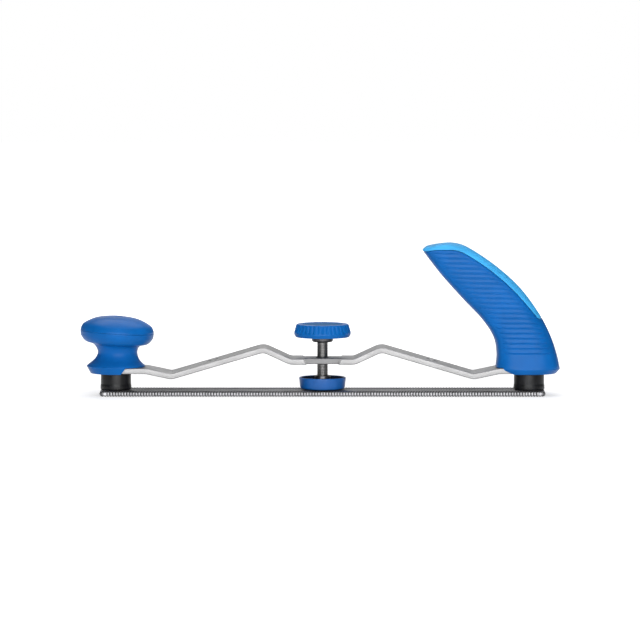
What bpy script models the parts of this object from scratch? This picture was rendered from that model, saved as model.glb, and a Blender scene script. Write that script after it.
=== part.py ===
"""Flexible body file holder: a file blade hung from a bent bar on two rubber buffers, with a front
knob, a rear handle and a central screw that pushes or pulls the middle of the blade.

Metres, +Z up. The sole of the blade is at z = 0, the rear handle is towards +X, and the origin is
under the middle of the whole tool. Heights are counted from the sole.
"""

import math

import bmesh
import bpy
from mathutils import Vector

MM = 0.001

# Clearances
SEAT = 0.3 * MM  # between two pieces that seat on each other
RUNNING = 0.3 * MM  # round a thread, pin or swivel

# File blade
HANDLE_SPACING = 325 * MM  # between the two end screws, and so between the two handles
END_MARGIN = 12.5 * MM  # from an end screw to the end of the blade
BLADE_WIDTH = 35 * MM
BLADE_THICKNESS = 4.3 * MM
BLADE_CORNER = 3 * MM

# Countersunk screws, heads below the teeth
HEAD_RECESS = 0.3 * MM
END_SCREW_RADIUS = 3 * MM
END_HEAD_RADIUS = 5.4 * MM
END_SCREW_LENGTH = 10.2 * MM
CENTRE_SCREW_RADIUS = 2.5 * MM
CENTRE_HEAD_RADIUS = 4.6 * MM
CENTRE_SCREW_GRIP = 3.7 * MM  # thread inside the hub of the thrust cup

# Rubber buffers with their bonded plates
BUFFER_RADIUS = 12.25 * MM
BUFFER_HEIGHT = 12.9 * MM
BUFFER_SKIN = 1.05 * MM  # rubber round the rim of a plate
PLATE_THICKNESS = 1.5 * MM
SOCKET_WALL = 2.7 * MM  # round the screw's thread
SOCKET_ROOF = 1 * MM  # metal over the end of the screw's thread
STUD_RADIUS = 4 * MM
STUD_REACH = 10.4 * MM  # above the bar

# Bent bar
BAR_WIDTH = 35 * MM
BAR_THICKNESS = 4.5 * MM
FLAT_HALF = 25.2 * MM  # half the level stretch at the screw
FLAT_RISE = 7.35 * MM  # of the level stretch over the end pads
PEAK_FROM_CENTRE = 46 * MM
PEAK_RISE = 16.95 * MM
VALLEY_FROM_END = 44 * MM  # from a handle's axis
VALLEY_DROP = 4.25 * MM
PAD_BEND_FROM_END = 24 * MM
FLAT_BEND_RADIUS = 10 * MM
PEAK_BEND_RADIUS = 10 * MM
VALLEY_BEND_RADIUS = 8 * MM
PAD_BEND_RADIUS = 12 * MM
NOTCH_OUTER_HALF = 14 * MM
NOTCH_INNER_HALF = 8 * MM
NOTCH_DEPTH = 6 * MM
SLOPE_HOLE_FROM_END = 76.5 * MM
SLOPE_HOLE_RADIUS = 4.6 * MM

# Central screw, its bush and its swivel
SPINDLE_RADIUS = 4 * MM
BUSH_WALL = 1.2 * MM
BUSH_PROUD = 0.4 * MM  # over the bar
SWIVEL_GROOVE_WIDTH = 1.4 * MM
SWIVEL_GROOVE_DEPTH = 0.8 * MM  # in the spindle
CLIP_THICKNESS = 0.8 * MM
CLIP_BITE = 0.6 * MM  # of the clip into the wall of the hub
CLIP_OPEN_ANGLE = math.radians(40)
TIP_BELOW_GROOVE = 1.0 * MM
TIP_CHAMFER = 0.35 * MM
WASHER_THICKNESS = 0.6 * MM
WASHER_HOLE_RADIUS = 1.2 * MM

# Thrust cup
CUP_BASE_RADIUS = 17.4 * MM
CUP_FLARE = 1.1 * MM  # of the rim beyond the base
CUP_HEIGHT = 9.4 * MM
CUP_WALL = 1.7 * MM
CUP_FLOOR = 2.4 * MM
CUP_EDGE = 0.8 * MM
HUB_WALL = 1.1 * MM  # outside the clip's groove
HUB_SPIGOT_WALL = 1.4 * MM  # round the file screw's thread
HUB_WEB = 1.2 * MM  # between the file screw and the bore
HUB_ABOVE_GROOVE = 2.1 * MM

# Adjusting knob
COLLAR_CLEARANCE = 11.8 * MM  # from the bush up to the collar
COLLAR_FLANGE = 2 * MM  # outside the stem
COLLAR_HEIGHT = 3.6 * MM
EDGE_CHAMFER = 0.6 * MM  # of the collar and the hub
STEM_WALL = 1.7 * MM
STEM_ROOF = 1.2 * MM
KNOB_RADIUS = 22.3 * MM
KNOB_TAPER = 1.8 * MM  # of the radius, from the band to the top
KNOB_HEIGHT = 10.2 * MM
KNOB_LIP = 2.2 * MM
KNOB_LIP_INSET = 2 * MM
KNOB_BAND = 2.2 * MM  # smooth stretch between the lip and the flutes
KNOB_EDGE = 0.9 * MM
KNOB_RIM = 4.8 * MM  # round the cover
KNOB_ROOF = 1.6 * MM  # between the stem and the cover
KNOB_FLUTES = 36
FLUTE_DEPTH = 0.6 * MM
COVER_THICKNESS = 0.6 * MM
COVER_RECESS = 1.1 * MM

# Front knob. Each rise runs up from the level before it, and each inset runs in from the head's radius.
SKIRT_FOOT_WALL = 2.1 * MM  # outside the bar, at the bottom
SKIRT_WALL = 5 * MM  # outside the bar, at the widest
SKIRT_DROP = 0.4 * MM  # below the bar's pad
SKIRT_HEIGHT = 5.7 * MM
MOUTH_FOOT = 4.4 * MM  # from the knob's axis to where the skirt's side opens for the bar, at the bottom
MOUTH_TOP = 8.3 * MM  # and at the pocket's roof
FLARE_LEFT = 0.25  # share of the flare from neck to skirt that is left at half its height
NECK_RADIUS = 15.35 * MM
NECK_HEIGHT = 16.2 * MM  # over the underside of the bar's pad
CURL_STEP = 2.75 * MM  # out from the neck, where it turns under the head
CURL_RISE = 5 * MM
HEAD_RADIUS = 28.7 * MM
UNDER_INSET = 4.1 * MM
UNDER_RISE = 2 * MM
SIDE_INSET = 0.7 * MM
SIDE_RISE = 4 * MM
WIDEST_RISE = 3.6 * MM
SEAM_RISE = 1.4 * MM
SHOULDER_INSET = 2.9 * MM
SHOULDER_RISE = 5.8 * MM
CROWN_INSET = 11.5 * MM
CROWN_RISE = 4.4 * MM
DIMPLE_RADIUS = 6 * MM
DIMPLE_RISE = 1.8 * MM
DIMPLE_DEPTH = 0.6 * MM
HEAD_WALL = 6 * MM
HEAD_HOLLOW = 5.2 * MM  # depth below the seam
CAP_WALL = 3 * MM
CAP_SPIGOT = 2.4 * MM
KNOB_LEAN = math.radians(3)  # of the head towards the rear

# Threaded inserts in the knob and the handle
INSERT_WALL = 2.2 * MM
INSERT_HEIGHT = 12 * MM
INSERT_GROOVE = 0.7 * MM

# Rear handle, as points of its front and back edges and half widths, bottom to tip. Distances run
# from the handle's axis, and heights from the underside of the bar's pad.
BASE_DROP = 0.5 * MM
BASE_RIM_HEIGHT = 3.2 * MM
BASE_CHAMFER = 3.2 * MM
BASE_SIDE_CHAMFER = 2.55 * MM
BASE_FRONT_WALL = 9.1 * MM  # outside the bar's half width
BASE_BACK_WALL = 6.7 * MM
BASE_SIDE_WALL = 4.5 * MM
HANDLE_STATIONS = (
    # front x, front z, back x, back z, half width
    (-25.7 * MM, 15.2 * MM, 21.5 * MM, 15.2 * MM, 19.6 * MM),
    (-28.2 * MM, 28.2 * MM, 16.5 * MM, 29.7 * MM, 17.5 * MM),
    (-37.0 * MM, 41.9 * MM, 7.8 * MM, 46.4 * MM, 16.5 * MM),
    (-52.0 * MM, 57.8 * MM, -7.0 * MM, 66.4 * MM, 16.2 * MM),
    (-67.5 * MM, 75.0 * MM, -26.0 * MM, 83.7 * MM, 15.5 * MM),
    (-78.0 * MM, 88.2 * MM, -47.0 * MM, 97.8 * MM, 14.5 * MM),
    (-81.6 * MM, 93.0 * MM, -59.2 * MM, 102.0 * MM, 13.5 * MM),
    (-83.4 * MM, 95.4 * MM, -72.0 * MM, 101.3 * MM, 12.0 * MM),
    (-84.0 * MM, 96.4 * MM, -80.0 * MM, 99.7 * MM, 9.5 * MM),
)
HANDLE_SQUARENESS = 2.4  # exponent of the cross-sections, where 2 is an ellipse
PAD_DEPTH = 5.2 * MM
PAD_END_ROUND = 8 * MM
PAD_START = 2.8  # stations above the rim where the pad begins

# Facets
COARSE, FINE = 20, 40
KNOB_STEPS = 2
HANDLE_STEPS = 3
HANDLE_SIDES = 32
CORNER_STEPS = 6
BEND_STEPS = 5
SHARP_ANGLE = math.radians(35)
MERGE = 0.001 * MM
AXIS_MARK = 10 * MM

# Levels, from the sole up
BLADE_TOP = BLADE_THICKNESS
BUFFER_BOTTOM = BLADE_TOP + SEAT
BUFFER_TOP = BUFFER_BOTTOM + BUFFER_HEIGHT
PAD_BOTTOM = BUFFER_TOP + SEAT
PAD_TOP = PAD_BOTTOM + BAR_THICKNESS
POCKET_ROOF = PAD_TOP + SEAT
FLAT_BOTTOM = PAD_BOTTOM + FLAT_RISE
FLAT_TOP = FLAT_BOTTOM + BAR_THICKNESS
CUP_BOTTOM = BLADE_TOP + SEAT
CENTRE_SCREW_TOP = CUP_BOTTOM + CENTRE_SCREW_GRIP
HUB_FLOOR = CENTRE_SCREW_TOP + SEAT + HUB_WEB
WASHER_BOTTOM = HUB_FLOOR + SEAT
SPINDLE_TIP = WASHER_BOTTOM + WASHER_THICKNESS + RUNNING
GROOVE_BOTTOM = SPINDLE_TIP + TIP_BELOW_GROOVE
GROOVE_TOP = GROOVE_BOTTOM + SWIVEL_GROOVE_WIDTH
HUB_TOP = GROOVE_TOP + HUB_ABOVE_GROOVE
BUSH_TOP = FLAT_TOP + BUSH_PROUD
COLLAR_BOTTOM = BUSH_TOP + COLLAR_CLEARANCE
COLLAR_TOP = COLLAR_BOTTOM + COLLAR_HEIGHT
KNOB_BOTTOM = COLLAR_TOP + SEAT
KNOB_TOP = KNOB_BOTTOM + KNOB_HEIGHT
STEM_TOP = KNOB_TOP - COVER_RECESS - KNOB_ROOF - SEAT
SKIRT_TOP = PAD_BOTTOM - SKIRT_DROP + SKIRT_HEIGHT
NECK_LEVEL = PAD_BOTTOM + NECK_HEIGHT
CURL_LEVEL = NECK_LEVEL + CURL_RISE
UNDER_LEVEL = CURL_LEVEL + UNDER_RISE
SIDE_LEVEL = UNDER_LEVEL + SIDE_RISE
WIDEST_LEVEL = SIDE_LEVEL + WIDEST_RISE
SEAM_LEVEL = WIDEST_LEVEL + SEAM_RISE
SHOULDER_LEVEL = SEAM_LEVEL + SHOULDER_RISE
CROWN_LEVEL = SHOULDER_LEVEL + CROWN_RISE
DIMPLE_LEVEL = CROWN_LEVEL + DIMPLE_RISE

# Radii that follow from what goes inside
HUB_BORE = SPINDLE_RADIUS + RUNNING
CLIP_OUTER = HUB_BORE + CLIP_BITE
HUB_GROOVE_RADIUS = CLIP_OUTER + RUNNING
HUB_RADIUS = HUB_GROOVE_RADIUS + HUB_WALL
SPINDLE_GROOVE_RADIUS = SPINDLE_RADIUS - SWIVEL_GROOVE_DEPTH
BUSH_RADIUS = SPINDLE_RADIUS + RUNNING + BUSH_WALL
STEM_RADIUS = SPINDLE_RADIUS + SEAT + STEM_WALL
COLLAR_RADIUS = STEM_RADIUS + COLLAR_FLANGE
PLATE_RADIUS = BUFFER_RADIUS - BUFFER_SKIN
SOCKET_RADIUS = END_SCREW_RADIUS + SEAT + SOCKET_WALL
INSERT_RADIUS = STUD_RADIUS + SEAT + INSERT_WALL
CUP_RIM_RADIUS = CUP_BASE_RADIUS + CUP_FLARE
HUB_SPIGOT_RADIUS = CENTRE_SCREW_RADIUS + SEAT + HUB_SPIGOT_WALL
KNOB_TOP_RADIUS = KNOB_RADIUS - KNOB_TAPER
COVER_RADIUS = KNOB_TOP_RADIUS - KNOB_RIM
SKIRT_RADIUS = BAR_WIDTH / 2 + SKIRT_WALL


def lean_at(z):
    """Angle and sideways shift of the front knob's axis at a height: the angle grows by a smooth
    step from the skirt to the head, and the shift is its integral."""
    span = UNDER_LEVEL - SKIRT_TOP
    t = (z - SKIRT_TOP) / span
    if t <= 0:
        return 0.0, 0.0
    if t >= 1:
        return KNOB_LEAN, KNOB_LEAN * (span / 2 + z - UNDER_LEVEL)
    return KNOB_LEAN * (3 * t**2 - 2 * t**3), KNOB_LEAN * span * (t**3 - t**4 / 2)


FRONT_X = -HANDLE_SPACING / 2
REAR_X = HANDLE_SPACING / 2
FRONT_REACH = HANDLE_SPACING / 2 + HEAD_RADIUS * math.cos(KNOB_LEAN) - lean_at(WIDEST_LEVEL)[1]
REAR_REACH = HANDLE_SPACING / 2 + BAR_WIDTH / 2 + BASE_BACK_WALL
SPINDLE_X = (FRONT_REACH - REAR_REACH) / 2  # puts the origin under the middle of the whole tool


# Materials


def finish(name, colour, roughness, metallic=0.0):
    material = bpy.data.materials.new(name)
    material.use_nodes = True
    shader = material.node_tree.nodes["Principled BSDF"]
    shader.inputs["Base Color"].default_value = (*colour, 1)
    shader.inputs["Roughness"].default_value = roughness
    shader.inputs["Metallic"].default_value = metallic
    material.diffuse_color = (*colour, 1)
    return material


# Shape tools


def arc(centre, radius, start, end, steps):
    """Points on a circle from one angle to another, both ends included."""
    turn = (end - start) / steps
    return [
        (centre[0] + radius * math.cos(start + turn * i), centre[1] + radius * math.sin(start + turn * i))
        for i in range(steps + 1)
    ]


def through(points, steps):
    """A smooth curve through all the points, of any dimension, with some steps between each pair."""
    rows = [Vector(point) for point in points]
    padded = [2 * rows[0] - rows[1], *rows, 2 * rows[-1] - rows[-2]]
    curve = []
    for before, a, b, after in zip(padded, padded[1:], padded[2:], padded[3:]):
        for i in range(steps):
            t = i / steps
            bend = (b - before) * t + (2 * before - 5 * a + 4 * b - after) * t**2
            curve.append(a + (bend + (3 * a - before - 3 * b + after) * t**3) / 2)
    return [tuple(point) for point in curve] + [tuple(rows[-1])]


def turned(profile, steps=COARSE):
    """A solid of revolution about Z from a closed outline of radius and height. Outline edges that lie
    on the axis are left open, because they close by themselves."""
    bm = bmesh.new()
    points = [bm.verts.new((radius, 0, z)) for radius, z in profile]
    for a, b in zip(points, points[1:] + points[:1]):
        if a.co.x > 0 or b.co.x > 0:
            bm.edges.new((a, b))
    outline = bm.verts[:] + bm.edges[:]
    up = (0, 0, 1)
    bmesh.ops.spin(bm, geom=outline, cent=(0, 0, 0), axis=up, angle=math.tau, steps=steps, use_merge=True)
    bmesh.ops.remove_doubles(bm, verts=bm.verts, dist=MERGE)
    return bm


def extruded(outline, along):
    """A prism: a flat outline of 3-D points, swept by a vector."""
    bm = bmesh.new()
    face = bm.faces.new([bm.verts.new(point) for point in outline])
    swept = bmesh.ops.extrude_face_region(bm, geom=[face])["geom"]
    bmesh.ops.translate(bm, verts=[v for v in swept if isinstance(v, bmesh.types.BMVert)], vec=along)
    return bm


def upright(outline, bottom, top):
    """A prism that stands on an outline in plan."""
    return extruded([(x, y, bottom) for x, y in outline], (0, 0, top - bottom))


def crosswise(outline, half_width):
    """A prism that runs across the tool from an outline in side view."""
    return extruded([(x, -half_width, z) for x, z in outline], (0, 2 * half_width, 0))


def merged(parts):
    """Several separate solids in one mesh."""
    mesh = bpy.data.meshes.new("part")
    whole = bmesh.new()
    for part in parts:
        part.to_mesh(mesh)
        part.free()
        whole.from_mesh(mesh)
    bpy.data.meshes.remove(mesh)
    return whole


def moved(bm, x):
    bmesh.ops.translate(bm, verts=bm.verts, vec=(x, 0, 0))
    return bm


def add(name, bm, parent, material=None):
    """One named piece on its parent, shaded smooth but for its edges. Without a material it is a cutter."""
    bmesh.ops.recalc_face_normals(bm, faces=bm.faces)
    mesh = bpy.data.meshes.new(name)
    bm.to_mesh(mesh)
    bm.free()
    mesh.shade_smooth()
    mesh.set_sharp_from_angle(angle=SHARP_ANGLE)
    piece = bpy.data.objects.new(name, mesh)
    bpy.context.scene.collection.objects.link(piece)
    piece.parent = parent
    if material:
        mesh.materials.append(material)
    else:
        piece.hide_render = True
        piece.display_type = "WIRE"
    return piece


def cut(piece, cutter, operation="DIFFERENCE"):
    modifier = piece.modifiers.new(cutter.name, "BOOLEAN")
    modifier.operation = operation
    modifier.object = cutter


def axis_empty(name, parent, x):
    empty = bpy.data.objects.new(name, None)
    bpy.context.scene.collection.objects.link(empty)
    empty.parent = parent
    empty.location.x = x
    empty.empty_display_size = AXIS_MARK
    return empty


# File blade and its screws


def screw_profile(radius, head_radius, top, grown=0.0, below=HEAD_RECESS):
    """A countersunk screw, head down: a flat head, a 45 degree cone and a shank."""
    cone_top = HEAD_RECESS + head_radius - radius
    return [
        (0, below),
        (head_radius + grown, below),
        (head_radius + grown, HEAD_RECESS),
        (radius + grown, cone_top),
        (radius + grown, top),
        (0, top),
    ]


def screw(radius, head_radius, top):
    profile = screw_profile(radius, head_radius, top)
    return turned(profile[:1] + profile[2:])


def screw_hole(radius, head_radius, x):
    return moved(turned(screw_profile(radius, head_radius, 2 * BLADE_TOP, SEAT, -BLADE_TOP)), x)


def file_blade(parent, steel):
    half_length = HANDLE_SPACING / 2 + END_MARGIN
    corner_x, corner_y = half_length - BLADE_CORNER, BLADE_WIDTH / 2 - BLADE_CORNER
    outline = []
    for quarter, (x, y) in enumerate([(1, 1), (-1, 1), (-1, -1), (1, -1)]):
        start = quarter * math.pi / 2
        outline += arc((x * corner_x, y * corner_y), BLADE_CORNER, start, start + math.pi / 2, CORNER_STEPS)
    blade = add("file_blade", upright(outline, 0, BLADE_TOP), parent, steel)
    holes = [screw_hole(END_SCREW_RADIUS, END_HEAD_RADIUS, x) for x in (FRONT_X, REAR_X)]
    holes.append(screw_hole(CENTRE_SCREW_RADIUS, CENTRE_HEAD_RADIUS, 0))
    cut(blade, add("blade_holes", merged(holes), parent))


# Rubber buffers


def buffer_set(side, parent, rubber, steel):
    """One buffer: the rubber, a plate with a threaded socket bonded in its foot and a plate with a
    stud bonded in its top, and the screw that holds the blade's end."""
    plate_top = BUFFER_BOTTOM + PLATE_THICKNESS
    stud_plate_bottom = BUFFER_TOP - PLATE_THICKNESS
    screw_top = HEAD_RECESS + END_SCREW_LENGTH
    bore = END_SCREW_RADIUS + SEAT
    bore_top = screw_top + SEAT
    socket_top = bore_top + SOCKET_ROOF
    add(
        f"{side}_buffer",
        turned(
            [
                (PLATE_RADIUS + SEAT, BUFFER_BOTTOM),
                (BUFFER_RADIUS, BUFFER_BOTTOM),
                (BUFFER_RADIUS, BUFFER_TOP),
                (PLATE_RADIUS + SEAT, BUFFER_TOP),
                (PLATE_RADIUS + SEAT, stud_plate_bottom - SEAT),
                (0, stud_plate_bottom - SEAT),
                (0, socket_top + SEAT),
                (SOCKET_RADIUS + SEAT, socket_top + SEAT),
                (SOCKET_RADIUS + SEAT, plate_top + SEAT),
                (PLATE_RADIUS + SEAT, plate_top + SEAT),
            ],
            FINE,
        ),
        parent,
        rubber,
    )
    add(
        f"{side}_buffer_socket",
        turned(
            [
                (bore, BUFFER_BOTTOM),
                (PLATE_RADIUS, BUFFER_BOTTOM),
                (PLATE_RADIUS, plate_top),
                (SOCKET_RADIUS, plate_top),
                (SOCKET_RADIUS, socket_top),
                (0, socket_top),
                (0, bore_top),
                (bore, bore_top),
            ]
        ),
        parent,
        steel,
    )
    add(
        f"{side}_buffer_stud",
        turned(
            [
                (0, stud_plate_bottom),
                (PLATE_RADIUS, stud_plate_bottom),
                (PLATE_RADIUS, BUFFER_TOP),
                (STUD_RADIUS, BUFFER_TOP),
                (STUD_RADIUS, PAD_TOP + STUD_REACH),
                (0, PAD_TOP + STUD_REACH),
            ]
        ),
        parent,
        steel,
    )
    add(f"{side}_file_screw", screw(END_SCREW_RADIUS, END_HEAD_RADIUS, screw_top), parent, steel)


# Bent bar and its bush


def bar_path():
    """The bar's middle line in side view, front to rear, as bend points with their radii."""
    pad_z = PAD_BOTTOM + BAR_THICKNESS / 2
    end = HANDLE_SPACING / 2
    half = [
        (FLAT_HALF, pad_z + FLAT_RISE, FLAT_BEND_RADIUS),
        (PEAK_FROM_CENTRE, pad_z + PEAK_RISE, PEAK_BEND_RADIUS),
        (end - VALLEY_FROM_END, pad_z - VALLEY_DROP, VALLEY_BEND_RADIUS),
        (end - PAD_BEND_FROM_END, pad_z, PAD_BEND_RADIUS),
        (end + BAR_WIDTH, pad_z, 0),
    ]
    return [(-x, z, radius) for x, z, radius in reversed(half)] + half


def bent_strip(path, thickness):
    """The outline of a strip of even thickness along a path of straight runs and round bends."""
    line = []
    for (ax, az, _), (bx, bz, radius), (cx, cz, _) in zip(path, path[1:], path[2:]):
        before, after = Vector((bx - ax, bz - az)).normalized(), Vector((cx - bx, cz - bz)).normalized()
        start, end = math.atan2(before.y, before.x), math.atan2(after.y, after.x)
        reach = radius * math.tan(abs(end - start) / 2)
        side = math.copysign(1, end - start)
        entry = Vector((bx, bz)) - before * reach
        centre = entry + Vector((-before.y, before.x)) * radius * side
        for i in range(BEND_STEPS + 1):
            angle = start + (end - start) * i / BEND_STEPS
            normal = Vector((-math.sin(angle), math.cos(angle)))
            line.append((centre - normal * radius * side, normal))
    flat = Vector((0, 1))
    ends = [Vector(path[0][:2]), Vector(path[-1][:2])]
    line = [(ends[0], flat), *line, (ends[1], flat)]
    upper = [tuple(point + normal * thickness / 2) for point, normal in line]
    lower = [tuple(point - normal * thickness / 2) for point, normal in line]
    return upper + lower[::-1]


def bar_plan():
    """The bar seen from above: round ends about the handles' axes, and a notch in each edge at the screw."""
    half_width = BAR_WIDTH / 2
    waist = half_width - NOTCH_DEPTH
    notch = [
        (NOTCH_OUTER_HALF, half_width),
        (NOTCH_INNER_HALF, waist),
        (-NOTCH_INNER_HALF, waist),
        (-NOTCH_OUTER_HALF, half_width),
    ]
    rear = arc((REAR_X, 0), half_width, -math.pi / 2, math.pi / 2, COARSE)
    front = arc((FRONT_X, 0), half_width, math.pi / 2, 3 * math.pi / 2, COARSE)
    return rear + notch + front + [(-x, -y) for x, y in notch]


def frame_bar(parent, aluminium):
    top = PAD_TOP + 2 * PEAK_RISE
    bar = add("frame_bar", crosswise(bent_strip(bar_path(), BAR_THICKNESS), BAR_WIDTH), parent, aluminium)
    cut(bar, add("bar_plan", upright(bar_plan(), 0, top), parent), "INTERSECT")
    holes = {
        FRONT_X: STUD_RADIUS + SEAT,
        FRONT_X + SLOPE_HOLE_FROM_END: SLOPE_HOLE_RADIUS,
        0: BUSH_RADIUS + SEAT,
        REAR_X - SLOPE_HOLE_FROM_END: SLOPE_HOLE_RADIUS,
        REAR_X: STUD_RADIUS + SEAT,
    }
    drills = [moved(turned([(0, 0), (r, 0), (r, top), (0, top)]), x) for x, r in holes.items()]
    cut(bar, add("bar_drills", merged(drills), parent))


def spindle_bush(parent, steel):
    bore = SPINDLE_RADIUS + RUNNING
    profile = [(bore, FLAT_BOTTOM), (BUSH_RADIUS, FLAT_BOTTOM), (BUSH_RADIUS, BUSH_TOP), (bore, BUSH_TOP)]
    add("spindle_bush", turned(profile), parent, steel)


# Front knob and rear handle


def insert(name, parent, brass):
    """A brass sleeve, moulded in, with a groove round its middle that holds it."""
    bore = STUD_RADIUS + SEAT
    middle = POCKET_ROOF + INSERT_HEIGHT / 2
    profile = [
        (bore, POCKET_ROOF),
        (INSERT_RADIUS, POCKET_ROOF),
        (INSERT_RADIUS, middle - INSERT_GROOVE),
        (INSERT_RADIUS - INSERT_GROOVE, middle),
        (INSERT_RADIUS, middle + INSERT_GROOVE),
        (INSERT_RADIUS, POCKET_ROOF + INSERT_HEIGHT),
        (bore, POCKET_ROOF + INSERT_HEIGHT),
    ]
    add(name, turned(profile), parent, brass)


def bar_end_pocket(name, parent, towards_centre):
    """The room that a knob or handle leaves for the bar's round end, open below and towards the centre."""
    radius = BAR_WIDTH / 2 + SEAT
    mouth = towards_centre * 3 * radius
    outline = arc((0, 0), radius, math.pi / 2, 3 * math.pi / 2, COARSE)
    outline = [(-towards_centre * abs(x), y) for x, y in outline]
    outline += [(mouth, -radius), (mouth, radius)]
    return add(name, upright(outline, 0, POCKET_ROOF), parent)


def leaned(bm):
    """Tilts the knob's head: each level turns with the knob's axis at its height."""
    for vert in bm.verts:
        angle, shift = lean_at(vert.co.z)
        x = vert.co.x
        vert.co.x = x * math.cos(angle) + shift
        vert.co.z -= x * math.sin(angle)
    return bm


def front_knob(parent, plastic):
    """A mushroom on a skirt, hollow under its cap."""
    bore = INSERT_RADIUS + SEAT
    bore_top = POCKET_ROOF + INSERT_HEIGHT + SEAT
    foot = PAD_BOTTOM - SKIRT_DROP
    seam = SEAM_LEVEL - SEAT / 2
    stem = through(
        [
            (SKIRT_RADIUS, SKIRT_TOP),
            (NECK_RADIUS + FLARE_LEFT * (SKIRT_RADIUS - NECK_RADIUS), (SKIRT_TOP + NECK_LEVEL) / 2),
            (NECK_RADIUS, NECK_LEVEL),
            (NECK_RADIUS + CURL_STEP, CURL_LEVEL),
            (HEAD_RADIUS - UNDER_INSET, UNDER_LEVEL),
            (HEAD_RADIUS - SIDE_INSET, SIDE_LEVEL),
            (HEAD_RADIUS, WIDEST_LEVEL),
            (HEAD_RADIUS, seam),
        ],
        KNOB_STEPS,
    )
    hollow = HEAD_RADIUS - HEAD_WALL
    floor = SEAM_LEVEL - HEAD_HOLLOW
    profile = [(0, bore_top), (bore, bore_top), (bore, foot), (BAR_WIDTH / 2 + SKIRT_FOOT_WALL, foot)]
    profile += stem + [(hollow, seam), (hollow, floor), (0, floor)]
    knob = add("front_knob", leaned(turned(profile, FINE)), parent, plastic)
    cut(knob, bar_end_pocket("front_pocket", parent, 1))
    beyond = 2 * SKIRT_RADIUS
    mouth = [(MOUTH_FOOT, 0), (MOUTH_FOOT, foot), (MOUTH_TOP, POCKET_ROOF)]
    mouth += [(beyond, POCKET_ROOF), (beyond, 0)]
    cut(knob, add("front_mouth", crosswise(mouth, beyond), parent))


def front_knob_cap(parent, plastic):
    """The crown over the seam, dished on top, with a spigot that centres it in the hollow head."""
    seam = SEAM_LEVEL + SEAT / 2
    crown = through(
        [
            (HEAD_RADIUS, seam),
            (HEAD_RADIUS - SHOULDER_INSET, SHOULDER_LEVEL),
            (HEAD_RADIUS - CROWN_INSET, CROWN_LEVEL),
            (DIMPLE_RADIUS, DIMPLE_LEVEL),
        ],
        KNOB_STEPS,
    )
    spigot = HEAD_RADIUS - HEAD_WALL - SEAT
    inner = spigot - CAP_WALL
    roof = SHOULDER_LEVEL
    profile = crown + [
        (0, DIMPLE_LEVEL - DIMPLE_DEPTH),
        (0, roof),
        (inner - CAP_WALL, roof),
        (inner, seam),
        (inner, seam - CAP_SPIGOT),
        (spigot, seam - CAP_SPIGOT),
        (spigot, seam),
    ]
    add("front_knob_cap", leaned(turned(profile, FINE)), parent, plastic)


def handle_stations():
    """Front point, back point and half width of each cross-section, bottom to tip. The base follows the
    bar's width, with a chamfer below its rim."""
    half = BAR_WIDTH / 2
    front, back, side = half + BASE_FRONT_WALL, half + BASE_BACK_WALL, half + BASE_SIDE_WALL
    foot = (-front + BASE_CHAMFER, -BASE_DROP, back - BASE_CHAMFER, -BASE_DROP, side - BASE_SIDE_CHAMFER)
    rim = (-front, BASE_RIM_HEIGHT, back, BASE_RIM_HEIGHT, side)
    return [foot] + through([rim, *HANDLE_STATIONS], HANDLE_STEPS)


def handle_solid():
    """The whole handle with its pad: rounded cross-sections, each in the plane of its front and back
    points, joined from the base to the tip."""
    bm = bmesh.new()
    rings = []
    for front_x, front_z, back_x, back_z, half_width in handle_stations():
        front, back = Vector((front_x, 0, PAD_BOTTOM + front_z)), Vector((back_x, 0, PAD_BOTTOM + back_z))
        middle, reach = (front + back) / 2, (back - front) / 2
        ring = []
        for i in range(HANDLE_SIDES):
            angle = math.tau * i / HANDLE_SIDES
            along, across = (
                math.copysign(abs(part) ** (2 / HANDLE_SQUARENESS), part)
                for part in (math.cos(angle), math.sin(angle))
            )
            ring.append(bm.verts.new(middle + reach * along + Vector((0, half_width * across, 0))))
        rings.append(ring)
    for low, high in zip(rings, rings[1:]):
        for i in range(HANDLE_SIDES):
            j = (i + 1) % HANDLE_SIDES
            bm.faces.new((low[i], low[j], high[j], high[i]))
    bm.faces.new(rings[0])
    bm.faces.new(rings[-1])
    return bm


def pad_region(name, parent, gap):
    """The side view of the grip pad as a prism: a band along the back edge up to the tip, with a round
    lower end. The gap makes it deeper and longer, to cut the pad's seat."""
    first, past_first = divmod(PAD_START * HANDLE_STEPS, 1)
    backs = [Vector((s[2], PAD_BOTTOM + s[3])) for s in handle_stations()[1 + int(first) :]]
    backs[0] = backs[0].lerp(backs[1], past_first)
    tangents = [(after - before).normalized() for before, after in zip(backs, backs[1:])]
    tangents = [tangents[0]] + [(a + b).normalized() for a, b in zip(tangents, tangents[1:])] + [tangents[-1]]
    inwards = [Vector((-tangent.y, tangent.x)) for tangent in tangents]
    start_along = tangents[0]
    round_end = []
    for i in range(CORNER_STEPS):
        angle = math.pi / 2 * i / CORNER_STEPS
        deep = (PAD_DEPTH + gap) * math.sin(angle)
        along = PAD_END_ROUND * (1 - math.cos(angle)) - gap
        round_end.append(backs[0] + inwards[0] * deep + start_along * along)
    outside = 4 * PAD_DEPTH
    start = backs[0] - inwards[0] * outside - start_along * gap
    inner = []
    for back, inward in zip(backs, inwards):
        point = back + inward * (PAD_DEPTH + gap)
        if (point - backs[0]).dot(start_along) > PAD_END_ROUND:
            inner.append(point)
    beyond = inner[-1] + (inner[-1] - inner[-2]).normalized() * outside
    outer = [back - inward * outside for back, inward in zip(backs[1:], inwards[1:])]
    outline = [start, *round_end, *inner, beyond, *outer[::-1]]
    return add(name, crosswise([tuple(point) for point in outline], 2 * BAR_WIDTH), parent)


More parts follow.
